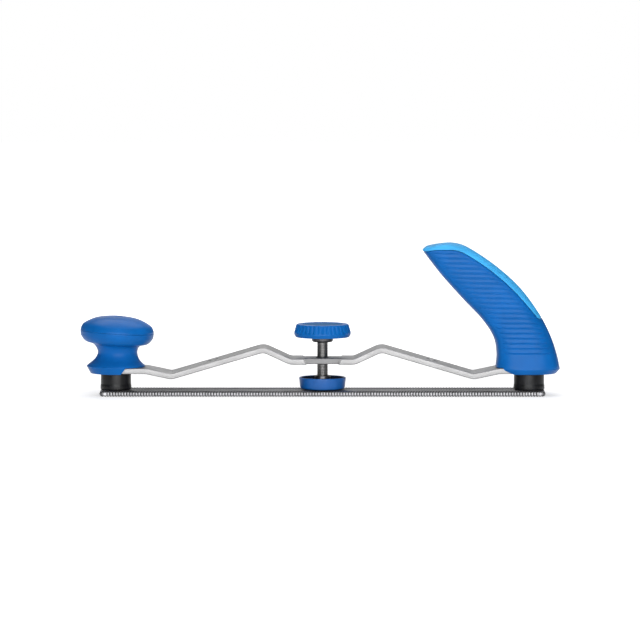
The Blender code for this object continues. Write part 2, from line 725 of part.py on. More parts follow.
def rear_handle(parent, plastic, soft_plastic):
    handle = add("rear_handle", handle_solid(), parent, plastic)
    bore_top = POCKET_ROOF + INSERT_HEIGHT + SEAT
    bore = [(0, 0), (INSERT_RADIUS + SEAT, 0), (INSERT_RADIUS + SEAT, bore_top), (0, bore_top)]
    cut(handle, add("rear_insert_bore", turned(bore), parent))
    cut(handle, bar_end_pocket("rear_pocket", parent, -1))
    cut(handle, pad_region("grip_pad_seat", parent, SEAT))
    pad = add("rear_grip_pad", handle_solid(), parent, soft_plastic)
    cut(pad, pad_region("grip_pad_band", parent, 0), "INTERSECT")


# Thrust cup and swivel


def thrust_cup(parent, painted):
    inner_base = CUP_BASE_RADIUS - CUP_WALL
    hole = HUB_SPIGOT_RADIUS + SEAT
    profile = [
        (hole, CUP_BOTTOM),
        (CUP_BASE_RADIUS - CUP_EDGE, CUP_BOTTOM),
        (CUP_BASE_RADIUS, CUP_BOTTOM + CUP_EDGE),
        (CUP_RIM_RADIUS, CUP_BOTTOM + CUP_HEIGHT),
        (CUP_RIM_RADIUS - CUP_WALL, CUP_BOTTOM + CUP_HEIGHT),
        (inner_base, CUP_BOTTOM + CUP_FLOOR + CUP_EDGE),
        (inner_base - CUP_EDGE, CUP_BOTTOM + CUP_FLOOR),
        (hole, CUP_BOTTOM + CUP_FLOOR),
    ]
    add("thrust_cup", turned(profile, FINE), parent, painted)


def cup_hub(parent, steel):
    """A socket on the cup's floor: the file screw's thread below, and the spindle's swivel above."""
    shoulder = CUP_BOTTOM + CUP_FLOOR + SEAT
    thread = CENTRE_SCREW_RADIUS + SEAT
    thread_top = CENTRE_SCREW_TOP + SEAT
    profile = [
        (thread, CUP_BOTTOM),
        (HUB_SPIGOT_RADIUS, CUP_BOTTOM),
        (HUB_SPIGOT_RADIUS, shoulder),
        (HUB_RADIUS, shoulder),
        (HUB_RADIUS, HUB_TOP - EDGE_CHAMFER),
        (HUB_RADIUS - EDGE_CHAMFER, HUB_TOP),
        (HUB_BORE, HUB_TOP),
        (HUB_BORE, GROOVE_TOP),
        (HUB_GROOVE_RADIUS, GROOVE_TOP),
        (HUB_GROOVE_RADIUS, GROOVE_BOTTOM),
        (HUB_BORE, GROOVE_BOTTOM),
        (HUB_BORE, HUB_FLOOR),
        (0, HUB_FLOOR),
        (0, thread_top),
        (thread, thread_top),
    ]
    add("cup_hub", turned(profile), parent, steel)


def thrust_washer(parent, brass):
    top = WASHER_BOTTOM + WASHER_THICKNESS
    outer = HUB_BORE - SEAT
    hole = WASHER_HOLE_RADIUS
    profile = [(hole, WASHER_BOTTOM), (outer, WASHER_BOTTOM), (outer, top), (hole, top)]
    add("thrust_washer", turned(profile), parent, brass)


def spindle_clip(parent, spring_steel):
    """A snap ring with a gap, in the spindle's groove and the hub's, so that the screw can pull as well."""
    inner = SPINDLE_GROOVE_RADIUS + RUNNING
    start, end = CLIP_OPEN_ANGLE / 2, math.tau - CLIP_OPEN_ANGLE / 2
    outline = arc((0, 0), CLIP_OUTER, start, end, COARSE) + arc((0, 0), inner, end, start, COARSE)
    bottom = (GROOVE_BOTTOM + GROOVE_TOP - CLIP_THICKNESS) / 2
    add("spindle_clip", upright(outline, bottom, bottom + CLIP_THICKNESS), parent, spring_steel)


# Spindle and adjusting knob


def spindle(parent, steel):
    top = STEM_TOP - STEM_ROOF - SEAT
    profile = [
        (0, SPINDLE_TIP),
        (SPINDLE_RADIUS - TIP_CHAMFER, SPINDLE_TIP),
        (SPINDLE_RADIUS, SPINDLE_TIP + TIP_CHAMFER),
        (SPINDLE_RADIUS, GROOVE_BOTTOM),
        (SPINDLE_GROOVE_RADIUS, GROOVE_BOTTOM),
        (SPINDLE_GROOVE_RADIUS, GROOVE_TOP),
        (SPINDLE_RADIUS, GROOVE_TOP),
        (SPINDLE_RADIUS, top),
        (0, top),
    ]
    add("spindle", turned(profile), parent, steel)


def knob_hub(parent, steel):
    """The collar under the knob, with a stem inside it that holds the spindle."""
    bore = SPINDLE_RADIUS + SEAT
    profile = [
        (bore, COLLAR_BOTTOM),
        (COLLAR_RADIUS - EDGE_CHAMFER, COLLAR_BOTTOM),
        (COLLAR_RADIUS, COLLAR_BOTTOM + EDGE_CHAMFER),
        (COLLAR_RADIUS, COLLAR_TOP),
        (STEM_RADIUS, COLLAR_TOP),
        (STEM_RADIUS, STEM_TOP),
        (0, STEM_TOP),
        (0, STEM_TOP - STEM_ROOF),
        (bore, STEM_TOP - STEM_ROOF),
    ]
    add("knob_hub", turned(profile), parent, steel)


def adjusting_knob(parent, plastic):
    """A fluted, slightly conical knob with a smooth lip at its foot and a recess for the cover."""
    stem = STEM_RADIUS + SEAT
    recess = COVER_RADIUS + SEAT
    band_top = KNOB_BOTTOM + KNOB_LIP + KNOB_BAND
    flute_end = KNOB_TOP - KNOB_EDGE
    profile = [
        (stem, KNOB_BOTTOM),
        (KNOB_RADIUS - KNOB_LIP_INSET, KNOB_BOTTOM),
        (KNOB_RADIUS, KNOB_BOTTOM + KNOB_LIP),
        (KNOB_RADIUS, band_top),
        (KNOB_TOP_RADIUS, flute_end),
        (KNOB_TOP_RADIUS - KNOB_EDGE, KNOB_TOP),
        (recess, KNOB_TOP),
        (recess, KNOB_TOP - COVER_RECESS),
        (0, KNOB_TOP - COVER_RECESS),
        (0, STEM_TOP + SEAT),
        (stem, STEM_TOP + SEAT),
    ]
    bm = turned(profile, 2 * KNOB_FLUTES)
    for vert in bm.verts:
        radius = math.hypot(vert.co.x, vert.co.y)
        fluted = band_top - SEAT < vert.co.z < flute_end + SEAT and radius > recess + SEAT
        if fluted and math.cos(KNOB_FLUTES * math.atan2(vert.co.y, vert.co.x)) < 0:
            shrink = 1 - FLUTE_DEPTH / radius
            vert.co.x *= shrink
            vert.co.y *= shrink
    add("adjusting_knob", bm, parent, plastic)


def knob_cover(parent, plate):
    bottom = KNOB_TOP - COVER_RECESS + SEAT
    top = bottom + COVER_THICKNESS
    profile = [(0, bottom), (COVER_RADIUS, bottom), (COVER_RADIUS, top), (0, top)]
    add("knob_cover", turned(profile, FINE), parent, plate)


def main():
    for leftover in list(bpy.data.objects):
        bpy.data.objects.remove(leftover)

    blue = finish("blue_plastic", (0.01, 0.13, 0.48), 0.4)
    pale_blue = finish("pale_blue_soft_plastic", (0.12, 0.42, 0.85), 0.6)
    blue_paint = finish("blue_paint", (0.01, 0.14, 0.5), 0.35)
    aluminium = finish("satin_aluminium", (0.62, 0.63, 0.64), 0.35, 1.0)
    steel = finish("bright_steel", (0.45, 0.45, 0.46), 0.3, 1.0)
    file_steel = finish("file_steel", (0.36, 0.36, 0.38), 0.45, 1.0)
    spring_steel = finish("spring_steel", (0.2, 0.2, 0.21), 0.4, 1.0)
    brass = finish("brass", (0.72, 0.5, 0.2), 0.35, 1.0)
    rubber = finish("black_rubber", (0.012, 0.012, 0.013), 0.7)
    grey_cover = finish("grey_cover", (0.2, 0.25, 0.33), 0.5)

    screw_axis = axis_empty("screw_axis", None, SPINDLE_X)
    file_blade(screw_axis, file_steel)
    frame_bar(screw_axis, aluminium)
    spindle_bush(screw_axis, steel)
    thrust_cup(screw_axis, blue_paint)
    cup_hub(screw_axis, steel)
    centre_screw = screw(CENTRE_SCREW_RADIUS, CENTRE_HEAD_RADIUS, CENTRE_SCREW_TOP)
    add("centre_file_screw", centre_screw, screw_axis, steel)
    thrust_washer(screw_axis, brass)
    spindle_clip(screw_axis, spring_steel)
    spindle(screw_axis, steel)
    knob_hub(screw_axis, steel)
    adjusting_knob(screw_axis, blue)
    knob_cover(screw_axis, grey_cover)

    front_axis = axis_empty("front_axis", screw_axis, FRONT_X)
    buffer_set("front", front_axis, rubber, steel)
    insert("front_knob_insert", front_axis, brass)
    front_knob(front_axis, blue)
    front_knob_cap(front_axis, blue)

    rear_axis = axis_empty("rear_axis", screw_axis, REAR_X)
    buffer_set("rear", rear_axis, rubber, steel)
    insert("rear_handle_insert", rear_axis, brass)
    rear_handle(rear_axis, blue, pale_blue)


main()
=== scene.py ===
"""The visual model of a body file holder, laid out as a Blender add-on.

The packed frame gives the place of every node. Each operator replaces one group of nodes with surfaces
that are worked out as grids of points, or gives the nodes a finish. Lengths are in metres. The blade
runs along X, with the knob at the front, towards -X, and the handle at the rear. Z is up.
"""

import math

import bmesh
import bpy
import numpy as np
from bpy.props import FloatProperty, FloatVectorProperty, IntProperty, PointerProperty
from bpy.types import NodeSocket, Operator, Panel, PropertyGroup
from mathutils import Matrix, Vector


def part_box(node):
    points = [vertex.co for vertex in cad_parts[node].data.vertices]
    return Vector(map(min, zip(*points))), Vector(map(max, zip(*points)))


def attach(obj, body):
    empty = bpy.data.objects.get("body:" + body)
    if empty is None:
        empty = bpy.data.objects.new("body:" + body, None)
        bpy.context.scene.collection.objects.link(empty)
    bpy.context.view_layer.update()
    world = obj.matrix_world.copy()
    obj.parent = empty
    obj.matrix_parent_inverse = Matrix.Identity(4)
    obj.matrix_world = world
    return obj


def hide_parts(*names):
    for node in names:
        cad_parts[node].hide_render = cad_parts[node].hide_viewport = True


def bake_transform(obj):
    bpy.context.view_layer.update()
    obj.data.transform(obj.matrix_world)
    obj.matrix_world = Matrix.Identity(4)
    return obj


bl_info = {
    "name": "Body file holder",
    "version": (1, 0, 0),
    "blender": (4, 5, 0),
    "location": "3D View > Sidebar > File holder",
    "description": "Builds the visual model of a body file holder on its packed frame",
    "category": "Add Mesh",
}

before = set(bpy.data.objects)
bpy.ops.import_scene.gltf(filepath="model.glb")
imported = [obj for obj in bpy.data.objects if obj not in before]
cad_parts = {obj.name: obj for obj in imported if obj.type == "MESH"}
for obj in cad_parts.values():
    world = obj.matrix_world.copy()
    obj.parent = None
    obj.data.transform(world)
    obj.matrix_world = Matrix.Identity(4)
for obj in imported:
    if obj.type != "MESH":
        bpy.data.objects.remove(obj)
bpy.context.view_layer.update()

# Sizes that the frame gives

MM = 0.001
SEAT = 0.3 * MM  # between pieces that rest on each other in the frame
RUNNING = 0.05 * MM  # between the screw and what it turns in
THREAD_PROUD = 0.2 * MM  # the thread's crests stand this far outside the frame's plain spindle


def node_box(name):
    """A node's lowest and highest corner as arrays."""
    low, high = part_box(name)
    return np.array(low), np.array(high)


def node_heights(name):
    """Where a node begins and ends in height."""
    low, high = node_box(name)
    return low[2], high[2]


def node_middle(name):
    """Where a node's middle lies along the blade."""
    low, high = node_box(name)
    return (low[0] + high[0]) / 2


def node_radius(name):
    """Half a node's length along the blade, which is the radius of a round one."""
    low, high = node_box(name)
    return (high[0] - low[0]) / 2


SPINDLE_X = node_middle("spindle")
FRONT_X = node_middle("front_buffer")
REAR_X = node_middle("rear_buffer")
BLADE_END, BLADE_HALF_WIDTH, BLADE_THICKNESS = node_box("file_blade")[1]
BLADE_HALF_LENGTH = node_radius("file_blade")
BAR_HALF_WIDTH, BAR_TOP = node_box("frame_bar")[1][1:]
HANDLE_REACH = REAR_X - SPINDLE_X  # from the screw's axis to the handle's, and to the knob's
PAD_BOTTOM = node_heights("front_buffer")[1] + SEAT  # underside of the bar where the handles stand
POCKET_ROOF = node_heights("front_knob_insert")[0]
FLAT_BOTTOM = node_heights("spindle_bush")[0]  # underside of the bar at the screw
SCREW_RADIUS = node_radius("spindle") + THREAD_PROUD
CUP_SHADE_RADIUS = node_radius("thrust_cup") - 1.5 * MM  # within this radius the cup is painted nearly black, as painted shade inside it

# Shapes that need more than a size. All lengths here are in millimetres.

# the bar's middle line from the screw to the handle: distance from the screw's axis, height above the
# pad's middle, bend radius
BAR_BENDS = ((25.2, 7.35, 10), (46.0, 16.95, 10), (118.5, -4.25, 8), (138.5, 0, 12))
# the front knob's side: radius, height above the underside of the bar's pad
KNOB_FOOT = (19.9, -0.4)
KNOB_SKIRT = (23.1, 5.3)
KNOB_NECK = ((17.4, 10.75), (15.6, 16.2), (18.2, 21.5))
KNOB_HEAD = ((24.6, 23.7), (28.1, 27.6), (28.9, 31.0), (28.9, 32.15))
KNOB_CROWN = (
    (28.9, 32.25), (28.45, 34.4), (26.0, 38.0), (17.2, 42.4), (7.0, 44.15), (2.5, 43.7), (0.0, 43.65)
)
# the rear handle from its rim to its tip: front x and z, back x and z, half width, from the handle's axis
# and the underside of the bar's pad
HANDLE_FOOT = (-23.4, -0.5, 21.0, -0.5, 19.45)
HANDLE_STATIONS = (
    (-26.6, 3.2, 24.2, 3.2, 22.0),
    (-25.7, 15.2, 21.5, 15.2, 19.6),
    (-28.2, 28.2, 16.5, 29.7, 17.5),
    (-37.0, 41.9, 7.8, 46.4, 16.5),
    (-52.0, 57.8, -7.0, 66.4, 16.2),
    (-67.5, 75.0, -26.0, 83.7, 15.5),
    (-78.0, 88.2, -47.0, 97.8, 14.5),
    (-81.6, 93.0, -59.2, 102.0, 13.5),
    (-83.4, 95.4, -72.0, 101.3, 12.0),
    (-84.0, 96.4, -80.0, 99.7, 9.5),
)
# one tooth of the blade: share of the pitch, share of the depth
TOOTH = ((0.0, 0.0), (0.12, 0.02), (0.22, 0.95), (0.36, 1.0), (0.56, 0.62), (0.8, 0.2))
# one turn of the screw's thread: share of the pitch, share of the depth
THREAD = ((0.0, 0.0), (0.5, 0.0), (0.62, 0.7), (0.7, 1.0), (0.8, 1.0), (0.88, 0.7))
# a blade screw's socket: share of its width, height above the head's face
SOCKET = ((1.05, 0.0), (1.0, 0.15), (1.0, 2.0), (0.0, 2.5))


# Sizes and colours that a user may change


def length(name, description, millimetres):
    """A length, with its default in millimetres."""
    kind = {"min": 0.0, "subtype": "DISTANCE", "unit": "LENGTH", "precision": 5}
    return FloatProperty(name=name, description=description, default=millimetres * MM, **kind)


def angle(name, description, degrees):
    """An angle, with its default in degrees."""
    kind = {"subtype": "ANGLE", "unit": "ROTATION"}
    return FloatProperty(name=name, description=description, default=math.radians(degrees), **kind)


def amount(name, description, default, unit="NONE"):
    """A number, without a unit if none is given."""
    return FloatProperty(name=name, description=description, default=default, min=0.0, unit=unit)


def colour(name, description, default):
    """A colour as red, green and blue."""
    kind = {"size": 3, "min": 0.0, "max": 1.0, "subtype": "COLOR"}
    return FloatVectorProperty(name=name, description=description, default=default, **kind)


class BladeSizes(PropertyGroup):
    """Teeth and edges of the file blade"""

    tooth_pitch: length("Tooth pitch", "From crest to crest along the blade", 2.2)
    tooth_depth: length("Tooth depth", "From a crest to the bottom of its gullet", 0.8)
    tooth_bow: length("Tooth bow", "How far a tooth's ends trail behind its middle", 4)
    edge_slant: length("Edge slant", "Width and height of the slanted long edges", 0.95)
    edge_nick: length("Edge nick", "How deep the gullets nick the sides", 0.22)
    corner: length("Corner radius", "Radius of the corners seen from above", 3)
    clamped: length("Clamped length", "From the knob's or handle's axis to where the blade may bend", 12)
    seated: length("Seated length", "From the screw's axis to where the blade may bend", 18)


class BarSizes(PropertyGroup):
    """Section, waist and holes of the bent bar"""

    thickness: length("Thickness", "Thickness of the bar", 4.5)
    edge: length("Edge radius", "Rounding of the long edges", 0.75)
    waist_outer: length("Waist start", "From the screw's axis to where the waist begins", 13.9)
    waist_inner: length("Waist end", "From the screw's axis to where the waist is deepest", 13.8)
    waist_depth: length("Waist depth", "How deep each side is notched at the screw", 6)
    waist_slant: amount("Waist slant", "How far the waist's ends lean outwards for each unit of height", 0.55)
    stud_hole: length("Stud hole", "Radius of the holes for the buffers' studs", 4.3)
    hole_from_end: length("Hole place", "From the knob's or handle's axis to the hole in the slope", 76.5)
    hole: length("Hole radius", "Radius of the holes in the long slopes", 4.6)
    mark_from_screw: length("Mark place", "From the screw's axis to the small marks", 34.4)
    mark_inset: length("Mark inset", "From the bar's side to the small marks", 1.2)
    mark_depth: length("Mark depth", "Depth of the small marks", 0.9)
    mark: length("Mark radius", "Radius of the small marks on the upper edge", 0.7)


class KnobSizes(PropertyGroup):
    """Lean, seam and mouth of the front knob"""

    lean: angle("Lean", "Tilt of the head towards the rear", 3.6)
    neck_shift: length("Neck shift", "How far the neck bows towards the rear", 1.3)
    edge: length("Edge radius", "Rounding of the skirt's edges", 0.4)
    seam_edge: length("Seam edge", "Rounding of the edges at the seam", 0.25)
    mouth_foot: length("Mouth at foot", "From the axis to where the skirt opens, at its foot", 4.4)
    mouth_top: length("Mouth at top", "From the axis to where the skirt opens, at the roof", 8.3)


class HandleSizes(PropertyGroup):
    """Section, grooves and pad of the rear handle"""

    base_squareness: amount("Base squareness", "Exponent of the section at the foot, 2 for an ellipse", 2.4)
    grip_squareness: amount("Grip squareness", "Exponent of the section above the rim", 3.2)
    base_height: length("Base height", "Height over which the section changes to the grip's", 7)
    edge: length("Edge radius", "Rounding at the foot and the rim", 0.6)
    groove_pitch: length("Groove pitch", "Height from groove to groove", 3.92)
    groove_width: length("Groove width", "Width of a groove", 1.45)
    groove_depth: length("Groove depth", "Depth of a groove", 0.5)
    groove_start: length("Groove start", "Height of the lowest groove above the sole", 34)
    groove_inset: length("Groove inset", "From the front edge to where the grooves begin", 4)
    groove_fade: length("Groove fade", "Length over which a groove runs out at its ends", 3)
    groove_gap: length("Groove gap", "From the grooves to the pad", 1.2)
    pad_depth: length("Pad depth", "Width of the pad in side view", 4.9)
    pad_tail: length("Pad tail", "Width of the pad at its lower end", 2.8)
    pad_taper: length("Pad taper", "Length over which the pad reaches its full width", 34)
    pad_tip: length("Pad tip", "Width of the pad at the handle's tip", 3.6)
    pad_narrowing: length("Pad narrowing", "Length over which the pad narrows to its tip", 18)
    pad_end: length("Pad end", "Length of the rounded lower end of the pad", 2.5)
    pad_start: amount("Pad start", "Stations above the rim where the pad begins", 2.85)
    seam_width: length("Seam width", "Width of the groove round the pad", 1.3)
    seam_depth: length("Seam depth", "Depth of the groove round the pad", 0.6)


class AdjusterSizes(PropertyGroup):
    """Flutes of the adjusting knob and thread of the screw"""

    flutes: IntProperty(name="Flutes", description="Number of flutes round the knob", default=36, min=6)
    flute_depth: length("Flute depth", "Depth of a flute", 0.6)
    knob_edge: length("Knob edge", "Rounding of the knob's upper edge", 1.2)
    knob_lip: length("Knob lip", "Height of the slanted lower lip", 2.2)
    lip_slant: length("Lip slant", "How much narrower the lip is at its foot", 1.2)
    knob_band: length("Knob band", "Height of the upright band over the lip", 1.6)
    knob_taper: length("Knob taper", "How much narrower the knob is at the top", 1.8)
    cover_recess: length("Cover recess", "How deep the cover lies below the rim", 1.1)
    cover_border: length("Cover border", "Width of the raised border of the cover", 2)
    cover_dish: length("Cover dish", "How deep the cover is dished", 0.25)
    pitch: length("Thread pitch", "Rise of the thread in one turn", 1.25)
    thread_depth: length("Thread depth", "Depth of the thread", 0.18)
    run_out: length("Run-out", "Height over which the thread fades at its ends", 0.8)
    edge: length("Edge radius", "Rounding of turned edges", 0.4)


class CupSizes(PropertyGroup):
    """Walls of the thrust cup and its socket, and of the rubber buffers"""

    wall: length("Wall", "Thickness of the cup's wall", 1.7)
    floor: length("Floor", "Thickness of the cup's floor", 2.4)
    flare: length("Flare", "How much wider the rim is than the base", 1.1)
    base_edge: length("Base edge", "Rounding of the cup's lower edge", 2.5)
    rim_edge: length("Rim edge", "Rounding of the cup's rim", 0.7)
    buffer_taper: length("Buffer taper", "How much narrower a buffer is at the top", 0.4)
    buffer_edge: length("Buffer edge", "Rounding of a buffer's edges", 0.6)
    buffer_step: length("Buffer step", "Height of the slope above a buffer's foot", 1.5)
    buffer_foot: amount("Buffer foot", "Share of a buffer's height that its wider foot takes", 0.22)


class FinishColours(PropertyGroup):
    """Colours of the finishes"""

    blue: colour("Blue plastic", "Knobs and handle", (0.003, 0.122, 0.43))
    pale_blue: colour("Pale blue plastic", "Grip pad", (0.058, 0.43, 0.86))
    paint: colour("Blue paint", "Thrust cup", (0.0015, 0.095, 0.36))
    aluminium: colour("Aluminium", "Bent bar", (0.37, 0.368, 0.37))
    steel: colour("Bright steel", "Screw and fittings", (0.17, 0.167, 0.164))
    blade: colour("Blade steel", "Crests and sides of the blade", (0.44, 0.44, 0.455))
    # the gullet colour is painted shade: it darkens the gullets, the slanted edges and the nicks in the sides
    gullet: colour("Gullets", "Dark scale in the gullets and on the slanted edges", (0.02, 0.02, 0.021))
    spring: colour("Spring steel", "Snap ring, socket and collar", (0.09, 0.09, 0.095))
    brass: colour("Brass", "Inserts and washer", (0.72, 0.5, 0.2))
    rubber: colour("Rubber", "Buffers", (0.004, 0.0045, 0.006))
    cover: colour("Knob cover", "Disc in the adjusting knob", (0.06, 0.16, 0.34))


class StageSettings(PropertyGroup):
    """Camera and light"""

    elevation: angle("Camera elevation", "Height of the camera above the level", 4.7)
    distance: length("Camera distance", "From the camera to its aim", 4000)
    lens: FloatProperty(
        name="Lens",
        description="Focal length",
        default=286.2,
        min=1.0,
        subtype="DISTANCE_CAMERA",
    )
    aim: FloatVectorProperty(
        name="Aim",
        description="Point that the camera looks at",
        default=(-0.00016, 0.0, 0.059),
        subtype="TRANSLATION",
    )
    front: amount("Front card", "Power of the broad light in front", 20.0, "POWER")
    key: amount("Key light", "Power of the light near the object", 6.5, "POWER")
    fill: amount("Overhead light", "Power of the light above", 12.0, "POWER")
    rear: amount("Rear light", "Power of the light behind and above", 13.0, "POWER")
    room: amount("Room light", "Strength of the dim light all round", 0.12)
    backdrop: amount("Backdrop", "Brightness of the white behind the object", 1.0)
    floor_lift: amount("Floor lift", "How much brighter the floor looks to the camera", 0.45)


SETTINGS = {
    "holder_blade": BladeSizes,
    "holder_bar": BarSizes,
    "holder_knob": KnobSizes,
    "holder_handle": HandleSizes,
    "holder_adjuster": AdjusterSizes,
    "holder_cup": CupSizes,
    "holder_colours": FinishColours,
    "holder_stage": StageSettings,
}


# Curves and grids


def smooth_step(t):
    """Rises from 0 to 1 with level ends: 3t^2 - 2t^3, with t held between 0 and 1."""
    t = np.clip(t, 0.0, 1.0)
    return t * t * (3.0 - 2.0 * t)


def fade_in(distance, start, reach):
    """Rises from 0 to 1 by a smooth step, from a start and over a reach."""
    return smooth_step((distance - start) / reach)


def spline(points, steps):
    """A smooth curve through points of any dimension: each run is a cubic whose slope at a point is half
    the way from the point before to the point after."""
    points = np.asarray(points, float)
    padded = np.concatenate([2 * points[:1] - points[1:2], points, 2 * points[-1:] - points[-2:-1]])
    before, here, there, after = (padded[i : len(padded) - 3 + i, None] for i in range(4))
    t = np.linspace(0, 1, steps, endpoint=False)[None, :, None]
    square = (2 * before - 5 * here + 4 * there - after) * t**2
    cube = (3 * here - before - 3 * there + after) * t**3
    runs = here + ((there - before) * t + square + cube) / 2
    return np.concatenate([runs.reshape(-1, points.shape[1]), points[-1:]])


def run_lengths(line):
    """How far along a line of straight runs each of its points lies."""
    return np.concatenate([[0], np.cumsum(np.linalg.norm(np.diff(line, axis=0), axis=1))])


def full_turn(columns):
    """Even angles once round."""
    return np.linspace(0, math.tau, columns, endpoint=False)


def unit(vector):
    """A vector's direction, with length 1."""
    return vector / np.linalg.norm(vector)


def filleted(corners, steps=5):
    """The line through corners in a plane, each with its rounding radius: a rounded corner gives way to
    an arc that touches both its sides."""
    corners = np.asarray(corners, float)
    places, radii = corners[:, :2], corners[:, 2]
    line = [places[:1]]
    for before, corner, after, radius in zip(places, places[1:], places[2:], radii[1:]):
        if radius == 0:
            line.append(corner[None])
            continue
        inward, outward = unit(corner - before), unit(after - corner)
        half = math.acos(np.clip(inward @ outward, -1, 1)) / 2
        to_corner = unit(inward - outward)
        centre = corner - to_corner * radius / math.cos(half)
        turn = np.linspace(-half, half, steps + 1)[:, None]
        line.append(centre + radius * (np.cos(turn) * to_corner + np.sin(turn) * unit(inward + outward)))
    return np.concatenate([*line, places[-1:]])


def turned(profile, x, columns=72):
    """A surface of revolution about an upright axis: each point of the profile, a radius and a height,
    goes once round in even steps."""
    profile = np.asarray(profile, float)
    around = full_turn(columns)
    radius, height = profile[:, :1], profile[:, 1:2]
    return np.stack([x + radius * np.cos(around), radius * np.sin(around), height + 0 * around], axis=-1)


def grid_normals(points):
    """Unit normals of a grid that closes along its rows: the cross product of the steps along its two
    directions, turned to face away from the row's middle."""
    along = np.gradient(points, axis=0)
    around = np.roll(points, -1, axis=1) - np.roll(points, 1, axis=1)
    normal = np.cross(around, along)
    normal /= np.maximum(np.linalg.norm(normal, axis=-1, keepdims=True), 1e-12)
    out = points - points.mean(axis=1, keepdims=True)
    return normal * np.sign((normal * out).sum(axis=-1, keepdims=True))


# Meshes

MERGE = 0.002 * MM  # points closer than this are one
SLIVER = 0.01 * MM  # edges shorter than this are merged after a cut
SHARP_ANGLE = 32  # degrees between two faces from which their edge is drawn sharp
DRILL_COLUMNS = 48


def linked(name, data):
    """A new object in the scene."""
    made = bpy.data.objects.new(name, data)
    bpy.context.scene.collection.objects.link(made)
    return made


def closed_object(name, points, faces):
    """An object on points and faces: points that coincide are merged, open ends get a flat face, and all
    faces are turned outwards."""
    mesh = bpy.data.meshes.new(name)
    mesh.from_pydata(points.tolist(), [], faces)
    bm = bmesh.new()
    bm.from_mesh(mesh)
    bmesh.ops.remove_doubles(bm, verts=bm.verts, dist=MERGE)
    bmesh.ops.holes_fill(bm, edges=[edge for edge in bm.edges if edge.is_boundary])
    bmesh.ops.recalc_face_normals(bm, faces=bm.faces)
    bm.to_mesh(mesh)
    bm.free()
    return linked(name, mesh)


def grid_object(name, points, ring=False, climb=0):
    """A closed object on a grid of points: each cell is a quad, and the last column joins the first, some
    rows further on where the rows climb like a thread. A ring's last row joins its first as well."""
    rows, columns = points.shape[:2]
    index = np.arange(rows * columns).reshape(rows, columns)
    first = index[np.minimum(np.arange(rows) + climb, rows - 1), 0]
    right = np.column_stack([index[:, 1:], first])
    if ring:
        index, right = np.vstack([index, index[:1]]), np.vstack([right, right[:1]])
    quads = np.stack([index[:-1], right[:-1], right[1:], index[1:]], axis=-1)
    return closed_object(name, points.reshape(-1, 3), quads.reshape(-1, 4).tolist())


def turned_object(name, corners, x, steps, columns=72, ring=False):
    """A turned object on the corners of its profile, each a radius, a height and its rounding."""
    return grid_object(name, turned(filleted(corners, steps), x, columns), ring)


def prism(name, outline, along):
    """A solid swept from a flat outline of points by a vector."""
    outline = np.asarray(outline, float)
    count = len(outline)
    here = np.arange(count)
    there = np.roll(here, -1)
    sides = np.stack([here, there, there + count, here + count], axis=-1).tolist()
    points = np.concatenate([outline, outline + np.asarray(along)])
    return closed_object(name, points, [here.tolist(), (here + count).tolist(), *sides])


def drill(name, x, radius, top):
    """An upright cutter from the sole's height to a top."""
    return grid_object(name, turned([(radius, 0), (radius, top)], x, DRILL_COLUMNS))


def carve(piece, *cutters, operation="DIFFERENCE"):
    """Cuts the cutters out of a piece, or keeps what they share, merges the slivers that this leaves, and
    removes the cutters."""
    before = len(piece.data.vertices)
    for cutter in cutters:
        change = piece.modifiers.new(cutter.name, "BOOLEAN")
        change.operation = operation
        change.solver = "MANIFOLD"
        change.object = cutter
    graph = bpy.context.evaluated_depsgraph_get()
    mesh = bpy.data.meshes.new_from_object(piece.evaluated_get(graph))
    if len(mesh.vertices) in (0, before):
        raise RuntimeError(f"{piece.name}: a cut changed nothing")
    bm = bmesh.new()
    bm.from_mesh(mesh)
    bmesh.ops.triangulate(bm, faces=bm.faces)
    bmesh.ops.remove_doubles(bm, verts=bm.verts, dist=SLIVER)
    bmesh.ops.dissolve_degenerate(bm, edges=bm.edges, dist=SLIVER)
    bm.to_mesh(mesh)
    bm.free()
    piece.modifiers.clear()
    old, piece.data = piece.data, mesh
    bpy.data.meshes.remove(old)
    mesh.name = piece.name
    for cutter in cutters:
        cut_mesh = cutter.data
        bpy.data.objects.remove(cutter)
        bpy.data.meshes.remove(cut_mesh)


def dress(piece, slot, node_name, body=None, look=None, sharp=SHARP_ANGLE):
    """Shades a piece, gives it its slot's finish or another look, hides the node that it stands for, and lets
    it ride on a body."""
    piece.data.materials.clear()
    piece.data.materials.append(finish(look or slot))
    piece.data.shade_smooth()
    piece.data.set_sharp_from_angle(angle=math.radians(sharp))
    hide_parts(node_name)
    if body:
        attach(piece, body)


# Finishes

GULLET_SHADE = "gullet"  # the blade's attribute that holds its painted shade, from 0 to 1
FIELD_HALF = 12.3 * MM  # half the length of the bar's blasted field at its lower edge
FINISHES = {}


def new_finish(name, values):
    """A material with its tree and shader. Values that hold all over are set on the shader itself."""
    material = bpy.data.materials.new(name)
    material.use_nodes = True
    shader = material.node_tree.nodes["Principled BSDF"]
    for socket, value in values.items():
        shader.inputs[socket].default_value = value
    return material, material.node_tree, shader


def node(tree, kind, inputs, output=0, **settings):
    """Adds a node, sets or links its inputs, and returns one of its outputs."""
    made = tree.nodes.new("ShaderNode" + kind)
    for key, value in settings.items():
        setattr(made, key, value)
    for key, value in inputs.items():
        if isinstance(value, NodeSocket):
            tree.links.new(value, made.inputs[key])
        else:
            made.inputs[key].default_value = value
    return made.outputs[output]


def maths(tree, operation, first, second):
    """One sum on two values."""
    return node(tree, "Math", {0: first, 1: second}, operation=operation)


def vector_maths(tree, operation, first, second=(0, 0, 0), output=0):
    """One sum on one or two vectors."""
    return node(tree, "VectorMath", {0: first, 1: second}, output, operation=operation)


def place(tree, stretch=(1, 1, 1), centre=(0, 0, 0)):
    """Object coordinates about a centre, in units that stretch the pattern along each axis."""
    moved = vector_maths(tree, "SUBTRACT", node(tree, "TexCoord", {}, "Object"), centre)
    return vector_maths(tree, "MULTIPLY", moved, stretch)


